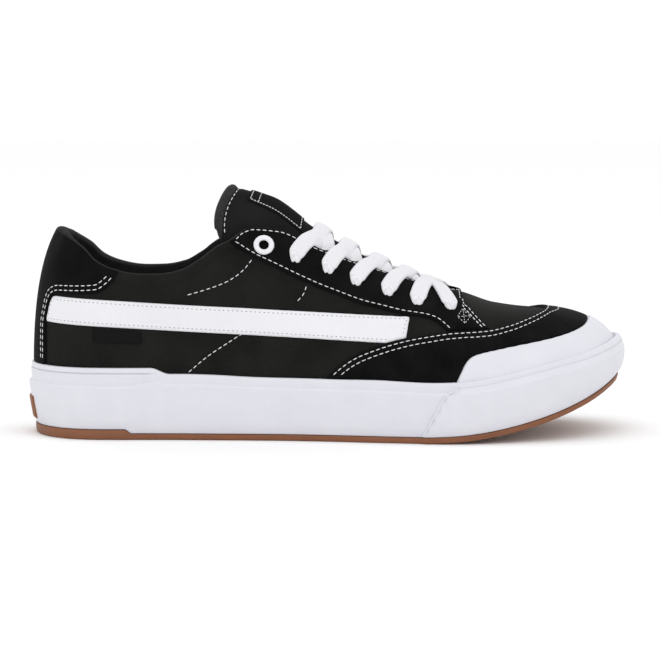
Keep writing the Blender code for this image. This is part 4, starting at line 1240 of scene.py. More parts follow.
rim_field = skin_points[..., 2] - rim_height(skin_points[..., 0] / LENGTH) + RIM_TUCK
top_field = cloth_rise[:, -1:] - cloth_rise
counter_field = side_field(
    closed_by(counter_line, (counter_line[-1, 0], -FAR), (-FAR, -FAR), (-FAR, FAR), (counter_line[0, 0], FAR))
)
toe_field = side_field(
    closed_by(toe_line, (toe_line[-1, 0], FAR), (FAR + 1, FAR), (FAR + 1, -FAR), (toe_line[0, 0], -FAR))
)
cap_field = side_field(
    closed_by(cap_line, (cap_line[-1, 0], FAR), (FAR + 1, FAR), (FAR + 1, -FAR), (cap_line[0, 0], -FAR))
)
stay_outline = closed_by(
    np.concatenate((stay_low, stay_front)), (stay_front[-1, 0], FAR), (stay_low[0, 0], FAR)
)
band_outline = shares_line(BAND_CORNERS)
tab_outline = shares_line(TAB_CORNERS)
print("points of the counter's and the toe's line:", len(counter_line), len(toe_line))


# %% [markdown]
# A row of stitches or a hole is known by its place in the side view, so the skin
# has to be searched for it. The nearest point of the table is a first guess, and
# three rounds of Newton's method slide it to the exact place.

# %%
def on_side(side, runs, heights):
    """Laps and rises of points seen from one side."""
    half = slice(0, LAPS // 2 + 1) if side == OUTER else slice(LAPS // 2, LAPS + 1)
    part = skin_points[half]
    start = 0 if side == OUTER else LAPS // 2
    laps, rises = [], []
    for run, height in zip(runs, heights):
        away = (part[..., 0] - run) ** 2 + (part[..., 2] - height) ** 2
        column_at, row_at = np.unravel_index(int(np.argmin(away)), away.shape)
        laps.append(lap_table[start + column_at])
        rises.append(rise_table[row_at])
    laps, rises = np.array(laps), np.array(rises)
    step, least = 0.004, 1e-12
    for _round in range(3):
        here = table_value(skin_points, laps, rises)
        ahead = table_value(skin_points, laps + step, rises) - here
        rise_step = np.where(rises > 0.99, -step, step)
        above = table_value(skin_points, laps, rises + rise_step) - here
        miss_run, miss_height = runs - here[:, 0], heights - here[:, 2]
        size = ahead[:, 0] * above[:, 2] - above[:, 0] * ahead[:, 2]
        size = np.where(np.abs(size) < least, least, size)
        go = (miss_run * above[:, 2] - above[:, 0] * miss_height) / size
        climb = (ahead[:, 0] * miss_height - miss_run * ahead[:, 2]) / size
        laps = laps + step * np.clip(go, -1, 1)
        rises = np.clip(rises + rise_step * np.clip(climb, -1, 1), 0, 1)
    return laps, rises


def hole_place(side, shares):
    """Lap and rise of a hole."""
    run, height = side_place(*shares)
    turn = float(turn_of(shares[0] * LENGTH / SOLE_RUN))
    lap = turn if side == OUTER else 2 - turn
    rises = np.linspace(0, 1, 401)
    heights = skin(np.full(len(rises), lap), rises)[:, 2]
    return lap, float(np.interp(height - STAY_SITS, heights, rises))


hole_places = {
    side: [hole_place(side, shares) for shares in (*LACE_HOLES, RING_HOLE)]
    for side in (OUTER, INNER)
}
FAR_FROM_HOLES = 0.05
hole_field = np.full(skin_points.shape[:2], FAR_FROM_HOLES)
for side in (OUTER, INNER):
    for place, (lap, rise) in enumerate(hole_places[side]):
        radius = RING_HOLE_RADIUS if place == len(LACE_HOLES) else LACE_HOLE_RADIUS
        away = np.linalg.norm(skin_points - skin(lap, rise), axis=-1) - radius
        hole_field = np.minimum(hole_field, away)
print("holes:", sum(len(places) for places in hole_places.values()))

# %% [markdown]
# ## Canvas body and its seams
#
# The body is one sheet with the lace holes punched in it. Three short seams join
# its cloth parts on each side. A seam pulls the cloth down, so each leaves a soft
# trough under its row of thread and a low swelling beside it. Both are worked
# out from the distance to the seam line. Under the padded collar runs a trough
# of the same kind.

# %%
SEAM_COLLAR = (
    (0.377, 0.830), (0.363, 0.765), (0.348, 0.718), (0.330, 0.680), (0.300, 0.640), (0.270, 0.610),
)
SEAM_UPPER = ((0.466, 0.700), (0.461, 0.650), (0.450, 0.600))
SEAM_LOWER = ((0.372, 0.415), (0.345, 0.347), (0.304, 0.241), (0.272, 0.140))
SEAM_DEEP, SEAM_WIDE, BESIDE_HIGH, BESIDE_WIDE = 0.0005, 0.0009, 0.0003, 0.0012
BESIDE_AT = (0.0016, 0.0010)
COLLAR_DEEP, COLLAR_TROUGH, COLLAR_HIGH, COLLAR_SWELL = 0.0006, (0.0055, 0.0011), 0.0005, (0.0025, 0.0020)


def line_distance(line):
    """Distance of the skin's points to a line, seen from the side."""
    best = np.full(skin_points.shape[:2], 1.0)
    for start, end in zip(line[:-1], line[1:]):
        best = np.minimum(best, np.hypot(
            skin_points[..., 0] - (start[0] + end[0]) / 2, skin_points[..., 2] - (start[1] + end[1]) / 2
        ))
    return best


seam_lines = [smooth_line(shares_line(rows), 0.001) for rows in (SEAM_COLLAR, SEAM_UPPER, SEAM_LOWER)]
cloth_relief = np.zeros(skin_points.shape[:2])
for line in seam_lines:
    cloth_relief -= SEAM_DEEP * bell(line_distance(line), 0.0, SEAM_WIDE)
    cloth_relief += BESIDE_HIGH * bell(line_distance(line + np.array(BESIDE_AT)), 0.0, BESIDE_WIDE)
skin_along = skin_points[..., 0] / LENGTH
by_collar = smooth_step(0.10, 0.16, skin_along) * (1 - smooth_step(0.34, 0.38, skin_along))
cloth_relief -= COLLAR_DEEP * by_collar * bell(top_field, *COLLAR_TROUGH)
cloth_relief += COLLAR_HIGH * by_collar * bell(top_field, *COLLAR_SWELL)

panel("canvas_body", hole_field, 0.0, 0.0, canvas, "upper", "dark_canvas", relief=cloth_relief)

# %% [markdown]
# ## Suede, leather and rubber panels
#
# Each panel is a skived sheet: thinned at its rim and laid on the canvas, so
# its edge is rounded and throws a small shadow. The toe overlay and the white
# cap pass round the toe in one piece, and the counter passes round the heel.
# The cap grows thicker towards its foot, so that it ends flush with the cup.

# %%
LAY = GAP
CAP_ROLL, CAP_TUCK, CAP_FILL_HIGH, CAP_TIP_THIN = 0.0014, 0.0016, 0.0110, 0.0010
panel("heel_counter_suede", np.minimum(counter_field, rim_field), LAY, OVERLAY, suede,
      "heel_counter", "dark_suede")
panel("toe_suede", np.minimum(np.minimum(toe_field, rim_field), -cap_field), LAY, OVERLAY, suede,
      "toe_overlay", "dark_suede")
to_cup_wall = UPPER_INSET - LAY - CAP - 0.3 * TAPE_SET - 0.0002
cap_fill = to_cup_wall * (1 - smooth_step(0.0, CAP_FILL_HIGH, rim_field))
cap_fill = cap_fill * smooth_step(0.715, 0.790, skin_along)
cap_fill = np.maximum(cap_fill - CAP_TIP_THIN * smooth_step(0.93, 0.99, skin_along), 0.0)
panel("toe_cap_rubber", np.minimum(cap_field, rim_field + CAP_TUCK), LAY, CAP, white_rubber,
      "toe_cap", "white_rubber", roll=CAP_ROLL, relief=cap_fill)
stay_fields = {}
for side, word in ((OUTER, "lateral"), (INNER, "medial")):
    stay_field = side_field(stay_outline, side)
    stay_fields[side] = stay_field
    kept = np.minimum(np.minimum(stay_field, hole_field), -toe_field - GAP)
    panel(f"eyestay_{word}_suede", kept, LAY, OVERLAY, suede, f"eyestay_{word}", "dark_suede")
    band_field = side_field(band_outline, side)
    kept = np.minimum(np.minimum(band_field, -counter_field - GAP), -toe_field - GAP)
    kept = np.minimum(kept, -stay_field - GAP)
    panel(f"side_band_{word}_leather", kept, LAY, BAND, leather, f"side_band_{word}", "white_leather",
          roll=0.0008)
tab_field = side_field(tab_outline, OUTER)
panel("side_tab_tape", tab_field, LAY, BAND, label_cloth, "side_tab", "woven_label", roll=0.0006)

# %% [markdown]
# ## Padded collar and lining
#
# Inside the canvas lies a knitted lining over foam. It rolls over the top line
# and is thickest round the ankle, where it is a soft tube. The foam is
# laminated to the cloth and sewn shut, so it is modelled by its section: a half
# circle over the edge and a swelling below it that thins towards the footbed.

# %%
turn_table = turn_and_side(lap_table)[0]
edge_run = edge_along(turn_table)
PAD_THIN, PAD_MORE, ANKLE_MORE, ANKLE_RISE, ANKLE_WIDE = 0.0017, 0.0038, 0.0012, 0.80, 0.12
ROLL_LOW, ROLL_MORE, ROLL_STEPS, LINING_ROWS = 0.35, 0.50, 10, 34
LINING_TOP, LINING_FOOT = 0.985, 0.02
collar_share = 1 - smooth_step(0.33, 0.375, edge_run)
crown_share = smooth_step(0.700, 0.712, edge_run)
pad = PAD_THIN + PAD_MORE * collar_share
counter_top = 1 - smooth_step(0.100, 0.165, edge_run)
stay_top = smooth_step(0.338, 0.342, edge_run)
top_lift = (GAP + OVERLAY) * np.maximum(counter_top, stay_top) * (1 - crown_share)
roll_up = ROLL_LOW + ROLL_MORE * (1 - smooth_step(0.040, 0.095, edge_run))
top_up = skin_points[:, -1] - skin_points[:, -3]
top_up /= np.linalg.norm(top_up, axis=1, keepdims=True)
radius, centre = (top_lift + pad) / 2, (top_lift - pad) / 2
rows = []
for angle in np.linspace(0, math.pi, ROLL_STEPS + 1):
    swell = roll_up * math.sin(angle) * radius * (1 - crown_share)
    edge = skin(lap_table, np.ones(LAPS + 1), centre + radius * math.cos(angle))
    rows.append(edge + top_up * swell[:, None])
for rise in np.linspace(LINING_TOP, LINING_FOOT, LINING_ROWS):
    depth = WALL + (pad - WALL) * smooth_step(0.50, 0.88, rise)
    depth = depth + ANKLE_MORE * collar_share * bell(rise, ANKLE_RISE, ANKLE_WIDE)
    rows.append(skin(lap_table, np.full(LAPS + 1, rise), -depth))
tool = grid_sheet(LAPS, len(rows) - 1, np.stack(rows, 1))
collar = finish_piece("collar_lining", tool, lining, slot="dark_lining", flat_angle=None)

# %% [markdown]
# ## Tongue
#
# The tongue is a padded strip that starts under the front of the throat and
# stands up behind the laces, where it swells between the eyestays. Its top
# surface is a height over the shoe's middle line. The pad is that surface with
# a thickness that rounds off to nothing at the rim, which is how a stitched and
# turned foam pad looks. Its free end shows a strip of open mesh.

# %%
tongue_track = {
    name: Track(column(TONGUE, TONGUE_COLUMNS, "along"), column(TONGUE, TONGUE_COLUMNS, name))
    for name in TONGUE_COLUMNS[1:]
}
TONGUE_FRONT, TONGUE_BACK = TONGUE[0][0], TONGUE[-2][0]
TONGUE_REAR = TONGUE_BACK - 0.0085
TONGUE_CLEAR, OPENING_ROOM = WALL + GAP + 0.0004, 0.0015
LEAN_RISE, LEAN_FALL = 1.87, 53.0
foot_samples = {
    OUTER: outline_at(turn_samples, -UPPER_INSET),
    INNER: outline_at(2 - turn_samples, -UPPER_INSET),
}


def foot_half_width(out, along):
    """Half width of the upper at its board, on the side where out lies."""
    run = np.asarray(along) * LENGTH
    halves = []
    for side in (OUTER, INNER):
        samples = foot_samples[side]
        sideways = np.interp(run, samples[:, 0], samples[:, 1])
        halves.append(np.abs(sideways - axis_at(along)))
    return np.where(np.asarray(out) < 0, halves[0], halves[1])


def tongue_height(along, out):
    """Height of the tongue's top at a signed distance from the middle line."""
    along, out = np.asarray(along, float), np.asarray(out, float)
    full = tongue_track["round"](along)
    reach = np.abs(out) / (foot_half_width(out, along) - TONGUE_CLEAR)
    crown = tongue_track["up"](along) * height_at(along)
    height = crown * (1 - np.minimum(1.0, reach) ** full) ** (1 / full)
    opening = edge_out(turn_of(along * LENGTH / SOLE_RUN)) * width_at(along) - OPENING_ROOM
    opening = np.maximum(opening, 0.0005)
    swell = tongue_track["puff"](along) * height_at(along)
    height = height + np.where(
        np.abs(out) < opening, swell * (1 - np.minimum(1.0, np.abs(out) / opening) ** 2) ** 2, 0.0
    )
    return board_at(along) + height


def tongue_point(along, share):
    """Point of the tongue's top, share -1 to 1 across it."""
    out = share * tongue_track["out"](along) * width_at(along)
    height = tongue_height(along, out)
    drop = tongue_height(along, 0.0 * out) - height
    lean = np.maximum(0.0, LEAN_RISE * drop - LEAN_FALL * drop ** 2)
    run = along * LENGTH - tongue_track["lean"](along) * lean
    return np.stack((run, axis_at(along) + out, height), -1)


def tongue_on(along, share, lift):
    """Point over the tongue's top."""
    along, share = np.broadcast_arrays(np.asarray(along, float), np.asarray(share, float))
    step = 0.004
    run = tongue_point(along + step, share) - tongue_point(along - step, share)
    across = tongue_point(along, share + step) - tongue_point(along, share - step)
    normal = np.cross(run, across)
    normal /= np.linalg.norm(normal, axis=-1, keepdims=True)
    return tongue_point(along, share) + normal * np.asarray(lift)[..., None]


# %% [markdown]
# The pad's two faces are laid on that surface and meet at the rim. A shallow
# trough near the free end is where a row of stitches draws the foam down. Faces
# behind it get the open mesh, as a second material of the same piece.

# %%
TONGUE_ACROSS, TONGUE_ALONG = 72, 110
RIM_SIDE, RIM_REAR, RIM_FRONT = 0.16, 0.022, 0.03
STITCH_BACK, TROUGH_DEEP, TROUGH_WIDE, MESH_FROM = 0.036, 0.0006, 0.008, 0.966
SLOPE_STRETCH = 1.3
half_shares = np.sin(np.linspace(-math.pi / 2, math.pi / 2, TONGUE_ACROSS + 1))
along_share = np.linspace(0, 1, TONGUE_ALONG + 1)
along_share = 0.5 - 0.5 * np.cos(math.pi * along_share)
share_grid, v_grid = np.meshgrid(half_shares, along_share, indexing="ij")
along_grid = TONGUE_FRONT + (TONGUE_REAR - TONGUE_FRONT) * v_grid
rim_thick = rounded((1 - np.abs(share_grid)) / RIM_SIDE)
rim_thick = rim_thick * rounded((1 - v_grid) / RIM_REAR) * rounded(v_grid / RIM_FRONT)
stitch_trough = TROUGH_DEEP * bell(1 - v_grid, STITCH_BACK, TROUGH_WIDE)
top = tongue_on(along_grid, share_grid, -TONGUE_PAD / 2 * (1 - rim_thick) - stitch_trough)
under = tongue_on(along_grid, share_grid, -TONGUE_PAD / 2 * (1 + rim_thick))
tongue_points = np.concatenate((top, under[::-1][1:]), 0)
tongue_lay = np.stack((tongue_points[..., 1], tongue_points[..., 0] * SLOPE_STRETCH), -1)
tool = grid_sheet(2 * TONGUE_ACROSS, TONGUE_ALONG, tongue_points, tongue_lay)
bmesh.ops.recalc_face_normals(tool, faces=tool.faces)
tool.faces.ensure_lookup_table()
for place, face in enumerate(tool.faces):
    if along_share[place // (2 * TONGUE_ACROSS)] > MESH_FROM:
        face.material_index = 1
tongue = finish_piece("tongue_pad", tool, [tongue_cloth, mesh_strip], "tongue", "dark_lining",
                      flat_angle=None)

# %% [markdown]
# A woven label lies on the tongue. It is a small sheet on the same surface whose
# rim rolls down, with nothing woven in it.

# %%
LABEL_FRONT, LABEL_BACK, LABEL_HALF = 0.462, 0.372, 0.33
LABEL_SUNK, LABEL_THICK, LABEL_ROLL, LABEL_SHAPE = 0.0001, 0.0009, 0.05, 1.2
LABEL_ACROSS, LABEL_ALONG = 48, 40
LABEL_LAY = (0.011, 0.026)
label_share, label_v = np.meshgrid(
    np.linspace(-1, 1, LABEL_ACROSS + 1), np.linspace(0, 1, LABEL_ALONG + 1), indexing="ij"
)
label_along = LABEL_FRONT + (LABEL_BACK - LABEL_FRONT) * label_v
label_rim = np.minimum(1 - np.abs(label_share), np.minimum(label_v, 1 - label_v) * LABEL_SHAPE)
label_lift = -LABEL_SUNK + LABEL_THICK * rounded(label_rim / LABEL_ROLL)
label_points = tongue_on(label_along, label_share * LABEL_HALF, label_lift)
label_lay = np.stack((label_share * LABEL_LAY[0], label_v * LABEL_LAY[1]), -1)
tool = grid_sheet(LABEL_ACROSS, LABEL_ALONG, label_points, label_lay)
finish_piece("tongue_label_tape", tool, label_cloth, "tongue_label", "woven_label")

# %% [markdown]
# ## Lace
#
# One flat woven lace zigzags up the throat. Each strand comes from under one
# eyestay, crosses the other strand over the tongue, and goes down through the
# next hole of the other side. What lies below a strand is a height over the
# floor: the tongue in the middle, then a bridge up to the edge of the eyestay,
# then the eyestay itself.

# %%
LACE_WIDTH, LACE_THICK = 0.0082, 0.0019
LACE_LIFT = OVERLAY + GAP + 0.0003
LACE_BEND, OVER_TONGUE = 0.2, 0.0004
THROAT_ROOM, THROAT_LEAST = 0.0006, 0.002


def upper_height(along, out):
    """Height of the upper over a signed distance from the middle line."""
    turn = turn_of(along * LENGTH / SOLE_RUN)
    full = edge_round(turn)
    half = foot_half_width(out, along)
    reach = edge_out(turn) * width_at(along) / half
    crown = edge_up(turn) * height_at(along) / (1 - reach ** full) ** (1 / full)
    inside_reach = np.minimum(1.0, np.abs(out) / half)
    return board_at(along) + crown * (1 - inside_reach ** full) ** (1 / full)


def over_eyestay(along, out):
    """Height clear of the eyestay, square to its slope."""
    step = 0.001
    rise = upper_height(along, out + step) - upper_height(along, out - step)
    return upper_height(along, out) + LACE_LIFT * np.hypot(1, rise / (2 * step))


def lace_height(along, out, over):
    """Height of the underside of a strand, over or under the edge of the throat."""
    edge = edge_out(turn_of(along * LENGTH / SOLE_RUN)) * width_at(along) - THROAT_ROOM
    edge = np.maximum(edge, THROAT_LEAST)
    bend = LACE_BEND * edge
    on_tongue = tongue_height(along, out) + OVER_TONGUE
    share = np.clip((np.abs(out) - bend) / (edge - bend), 0, 1)
    low = tongue_height(along, np.copysign(bend, out)) + OVER_TONGUE
    high = over_eyestay(along, np.copysign(edge, out))
    bridge = np.maximum(on_tongue, low + (high - low) * share)
    lifted = np.where(np.abs(out) > edge, over_eyestay(along, out), bridge)
    return np.where(over, lifted, on_tongue)


print("lace lies over the tongue by", OVER_TONGUE, "and over the eyestay by", round(LACE_LIFT, 4))

# %% [markdown]
# A strand begins as a centre line that is dropped onto that height. A band is
# drawn square to the line and dropped in its turn, so it bends over the edge of
# the eyestay by itself. At a hole the band narrows and dives. Its section is a
# flat arch with soft edges, and one strand of each pair rises over the other.

# %%
LACE_LENGTHS, LACE_ACROSS, LACE_PAST, HIDDEN_START = 96, 14, 0.0026, 0.12
HOLE_NARROW, NARROW_RUN = 0.22, 0.0036
DIVE_DEEP, DIVE_FROM, DIVE_TO, DIVE_CURVE = 0.0030, 0.0018, -0.0004, 1.3
CROSS_HALF, EDGE_THICK, EDGE_SOFT, LACE_ARCH = 0.0065, 0.25, 0.35, 0.0007
LINE_SOFT, BAND_SOFT, ACROSS_SOFT = 24, 16, 8


def unit(vectors):
    """Vectors of length 1."""
    return vectors / np.linalg.norm(vectors, axis=-1, keepdims=True)


def facing_of(run, out, over):
    """Direction square to what a strand lies on."""
    step = 0.0015
    slope_run = lace_height((run + step) / LENGTH, out, over) - lace_height((run - step) / LENGTH, out, over)
    slope_out = lace_height(run / LENGTH, out + step, over) - lace_height(run / LENGTH, out - step, over)
    return unit(np.stack((-slope_run, -slope_out, np.full(len(run), 2 * step)), -1))


def lace_narrow(to_hole):
    """Share of the full width at a distance from a hole."""
    return HOLE_NARROW + (1 - HOLE_NARROW) * rounded(to_hole / NARROW_RUN)


def lace_dive(to_hole):
    """Depth of the dive at a distance from a hole."""
    return DIVE_DEEP * (1 - smooth_step(DIVE_TO, DIVE_FROM, to_hole)) ** DIVE_CURVE


def strand(start, end, crossing, bow, from_hole, on_top):
    """One flat band from a front end to the back hole it dives through, and its length."""
    line = end - start
    first = 0.0 if from_hole else HIDDEN_START
    way = 0.5 - 0.5 * np.cos(np.linspace(first, math.pi, LACE_LENGTHS + 1))
    spot = start + line * (way * (1 + LACE_PAST / np.linalg.norm(line)))[:, None]
    spot[:, 0] += bow * np.sin(math.pi * way)
    run, out = spot.T
    over = np.logical_or(from_hole, run / LENGTH < crossing)
    height = softened(lace_height(run / LENGTH, out, over), LINE_SOFT)
    facing = softened(facing_of(run, out, over), LINE_SOFT)
    spine = np.stack((run, axis_at(run / LENGTH) + out, height), -1)
    sideways = unit(np.cross(facing, np.gradient(spine, axis=0)))
    from_start = np.concatenate(([0.0], np.cumsum(np.linalg.norm(np.diff(spine, axis=0), axis=1))))
    to_end = from_start[-1] - from_start
    narrow, dive = lace_narrow(to_end), lace_dive(to_end)
    if from_hole:
        narrow, dive = narrow * lace_narrow(from_start), dive + lace_dive(from_start)

    across = np.linspace(-1, 1, LACE_ACROSS + 1)
    band = spine[:, None] + sideways[:, None] * (LACE_WIDTH / 2 * narrow)[:, None, None] * across[:, None]
    along = band[..., 0] / LENGTH
    out = band[..., 1] - axis_at(along)
    over = np.logical_or(from_hole, along < crossing)
    height = softened(lace_height(along, out, over), BAND_SOFT)
    height = softened(height.T.copy(), ACROSS_SOFT).T
    if on_top:
        middle = np.argmin(np.abs(out[:, LACE_ACROSS // 2]))
        middle_away = np.abs(from_start - from_start[middle])
        height = height + (LACE_THICK * np.exp(-(middle_away / CROSS_HALF) ** 4))[:, None]
    arch = LACE_ARCH * (1 - across ** 2)
    height = height - dive[:, None] + LACE_THICK / 2 + arch
    points = np.stack((band[..., 0], band[..., 1], height), -1)
    facing = unit(np.cross(np.gradient(points, axis=0), np.gradient(points, axis=1)))
    swell = EDGE_THICK + (1 - EDGE_THICK) * rounded((1 - np.abs(across)) / EDGE_SOFT)
    half = LACE_THICK / 2 * swell[:, None]
    top, under = points + facing * half, points - facing * half
    ring = np.concatenate((top, under[:, ::-1], top[:, :1]), 1)
    lay_across = np.concatenate((across, across[::-1], across[:1])) * LACE_WIDTH / 2
    lay = np.stack((np.broadcast_to(lay_across, ring.shape[:2]),
                    np.broadcast_to(from_start[:, None], ring.shape[:2])), -1)
    return grid_sheet(LACE_LENGTHS, ring.shape[1] - 1, ring, lay), from_start[-1]


# %% [markdown]
# The front strands start at the first holes. The others come out from under the
# edge of the eyestay. A small bow sends each pair towards the toe or the heel,
# as slack and pull leave them.

# %%
EDGE_ROOM, START_PAST = 0.0035, 0.0018
LACE_BOWS = (-0.0008, 0.0, 0.0012, 0.0018, 0.0036)


def edge_at(along):
    """Half width of the throat."""
    return float(edge_out(turn_of(along * LENGTH / SOLE_RUN)) * width_at(along))


def hole_plan(side, place):
    """Run and sideways distance of a lace hole."""
    lap, rise = hole_places[side][place]
    point = skin(lap, rise)
    return np.array((point[0], point[1] - axis_at(point[0] / LENGTH)))


lace_length = 0.0
for place in range(len(LACE_HOLES) - 1):
    front_along = LACE_HOLES[place][0]
    from_hole = place == 0
    tools = []
    for side in (OUTER, INNER):
        end = hole_plan(-side, place + 1)
        if from_hole:
            start = hole_plan(side, place)
            start = start + (start - end) * START_PAST / np.linalg.norm(start - end)
        else:
            start = np.array((front_along * LENGTH, side * (edge_at(front_along) - EDGE_ROOM)))
        share = abs(start[1]) / (abs(start[1]) + abs(end[1]))
        crossing = (start[0] + (end[0] - start[0]) * share) / LENGTH
        tool, length = strand(start, end, crossing, LACE_BOWS[place], from_hole, -side == OUTER)
        tools.append(tool)
        lace_length += length
    whole = joined(tools)
    bmesh.ops.recalc_face_normals(whole, faces=whole.faces)
    finish_piece(f"lace_crossing_{place + 1}", whole, lace_cloth, f"lace_cross_{place + 1}",
                 "white_lace", flat_angle=None)
print("lace crossings:", len(LACE_HOLES) - 1, "length of lace that lies over:", lace_length)

# %% [markdown]
# The top hole of each row is not laced, and a white ring is set in it. The ring
# is a small turned section: spun once round and seated on the suede.

# %%
RING_STEPS, RING_SIDES, RING_HALF_HEIGHT, RING_SEAT = 48, 14, 0.0010, 0.0003
middle, half = (RING_HOLE_RADIUS + RING_RADIUS) / 2, (RING_RADIUS - RING_HOLE_RADIUS) / 2
for side, word in ((OUTER, "lateral"), (INNER, "medial")):
    lap, rise = hole_places[side][-1]
    tool = bmesh.new()
    section = []
    for angle in np.linspace(0, 2 * math.pi, RING_SIDES, endpoint=False):
        out, up = middle + half * math.cos(angle), RING_HALF_HEIGHT * math.sin(angle)
        section.append(tool.verts.new((out, 0, up)))
    edges = [tool.edges.new((section[place - 1], section[place])) for place in range(len(section))]
    bmesh.ops.spin(tool, geom=[*section, *edges], cent=(0, 0, 0), axis=(0, 0, 1),
                   angle=2 * math.pi, steps=RING_STEPS, use_merge=True)
    bmesh.ops.recalc_face_normals(tool, faces=tool.faces)
    seat = skin(lap, rise, LAY + OVERLAY + RING_SEAT)
    facing = Vector((seat - skin(lap, rise, 0.0)).tolist())
    turned = Vector((0, 0, 1)).rotation_difference(facing).to_matrix()
    bmesh.ops.rotate(tool, verts=tool.verts, matrix=turned)
    bmesh.ops.translate(tool, verts=tool.verts, vec=Vector(placed(seat).tolist()))
    finish_piece(f"top_ring_{word}", tool, leather, f"eyelet_{word}", "white_leather")

# %% [markdown]
# ## Stitches
#
# A lockstitch shows as a row of short dashes with a thread's width between
# them. The rows follow lines of equal distance inside a panel's cut edge, which
# is what a sewing foot does. `contour` finds such a line in a field: it marks
# where the line crosses the edges of the grid and links the marks to chains.

# %%
SHORTEST = 3


def contour(field, level):
    """Chains of (lap, rise) where a field has a value."""
    values = field - level
    crossing = {}

    def cross(first, second):
        """Key of the crossing between two points of the grid, if there is one."""
        a, b = values[first], values[second]
        if (a > 0) == (b > 0):
            return None
        key = (first, second)
        if key not in crossing:
            share = a / (a - b)
            lap = lap_table[first[0]] + share * (lap_table[second[0]] - lap_table[first[0]])
            rise = rise_table[first[1]] + share * (rise_table[second[1]] - rise_table[first[1]])
            crossing[key] = (lap, rise)
        return key

    signs = values > 0
    mixed = (signs[:-1, :-1] != signs[1:, :-1]) | (signs[:-1, :-1] != signs[:-1, 1:])
    mixed |= signs[:-1, :-1] != signs[1:, 1:]
    links = {}
    for across, upward in np.argwhere(mixed).tolist():
        corner = (across, upward), (across + 1, upward), (across, upward + 1), (across + 1, upward + 1)
        found = [cross(corner[0], corner[1]), cross(corner[0], corner[2]),
                 cross(corner[1], corner[3]), cross(corner[2], corner[3])]
        found = [key for key in found if key]
        for first, second in zip(found[::2], found[1::2]):
            links.setdefault(first, []).append(second)
            links.setdefault(second, []).append(first)
    chains = []
    left = set(links)
    while left:
        ends = [key for key in left if len([other for other in links[key] if other in left]) == 1]
        key = min(ends or left)
        chain = [key]
        left.discard(key)
        while True:
            onward = [other for other in links[key] if other in left]
            if not onward:
                break
            key = onward[0]
            left.discard(key)
            chain.append(key)
        if len(chain) > SHORTEST:
            chains.append(np.array([crossing[key] for key in chain]))
    return chains


def parts_where(chain, keep):
    """Stretches of a chain whose points are kept."""
    cuts = np.flatnonzero(np.diff(keep)) + 1
    parts = zip(np.split(chain, cuts), np.split(keep, cuts))
    return [part for part, kept in parts if kept[0] and len(part) > SHORTEST]


# %% [markdown]
# Each dash is a small sphere from `create_uvsphere`, stretched along the row and
# sunk halfway in the leather. It has only a few dozen faces, because there are
# about a thousand. A dash is given by its pitch, its length and its half width.

# %%
SUEDE_DASH = (0.0030, 0.0023, 0.00025)
FRONT_DASH = (0.0024, 0.0020, 0.0003)
BOX_DASH = (0.0016, 0.0012, 0.00015)
LABEL_DASH = (0.0016, 0.0014, 0.00022)
BAND_DASH = (0.0022, 0.0009, 0.0002)
DASH_FLAT, PROBE = 0.8, 0.001


def dash_line(rows, points, normals, dash):
    """Add a row of dashes along a line of points."""
    pitch, length, radius = dash
    runs = np.linalg.norm(np.diff(points, axis=0), axis=1)
    knots = np.concatenate(([0.0], np.cumsum(runs)))
    count = int(knots[-1] / pitch)
    if count < 1:
        return 0
    row = bmesh.new()
    for place in (np.arange(count) + 0.5) * knots[-1] / count:
        spots = [np.array([np.interp(place + shift, knots, points[:, axis]) for axis in range(3)])
                 for shift in (-length / 2, 0.0, length / 2)]
        normal = np.array([np.interp(place, knots, normals[:, axis]) for axis in range(3)])
        ahead = Vector((spots[2] - spots[0]).tolist()).normalized()
        upward = Vector(normal.tolist())
        aside = upward.cross(ahead).normalized()
        upward = ahead.cross(aside)
        turned = Matrix((ahead, aside, upward)).transposed().to_4x4()
        size = Matrix.Diagonal((length / 2, radius, radius * DASH_FLAT, 1.0))
        where = Matrix.Translation(Vector(placed(spots[1]).tolist()))
        bmesh.ops.create_uvsphere(row, u_segments=8, v_segments=6, radius=1.0,
                                  matrix=where @ turned @ size)
    rows.append(row)
    return count


def skin_dashes(rows, chain, lift, dash=SUEDE_DASH):
    """Dashes along a chain of laps and rises."""
    points = skin(chain[:, 0], chain[:, 1], lift)
    return dash_line(rows, points, points - skin(chain[:, 0], chain[:, 1], lift - PROBE), dash)


def tongue_dashes(rows, along, share, lift, dash):
    """Dashes along a line on the tongue."""
    points = tongue_on(along, share, lift)
    return dash_line(rows, points, points - tongue_on(along, share, lift - PROBE), dash)


def eased(chain, rounds):
    """Chain with its small steps smoothed out over the crown of the toe."""
    run = table_value(skin_points, chain[:, 0], chain[:, 1])[:, 0]
    share = smooth_step(0.80, 0.86, run / LENGTH)[:, None]
    return chain + (softened(chain.copy(), rounds) - chain) * share


def above_rim(chain, room=0.0012):
    """Whether points of a chain are over the top of the cup."""
    points = skin(chain[:, 0], chain[:, 1])
    return points[:, 2] > rim_height(points[:, 0] / LENGTH) + room


print("pitch of the stitches in suede:", SUEDE_DASH[0])

# %% [markdown]
# Counter and toe overlay carry a double row. The eyestay has a single one along
# its edge and a short one across its front. Rows stop where another part covers
# them. The seams of the canvas have a single row as well.

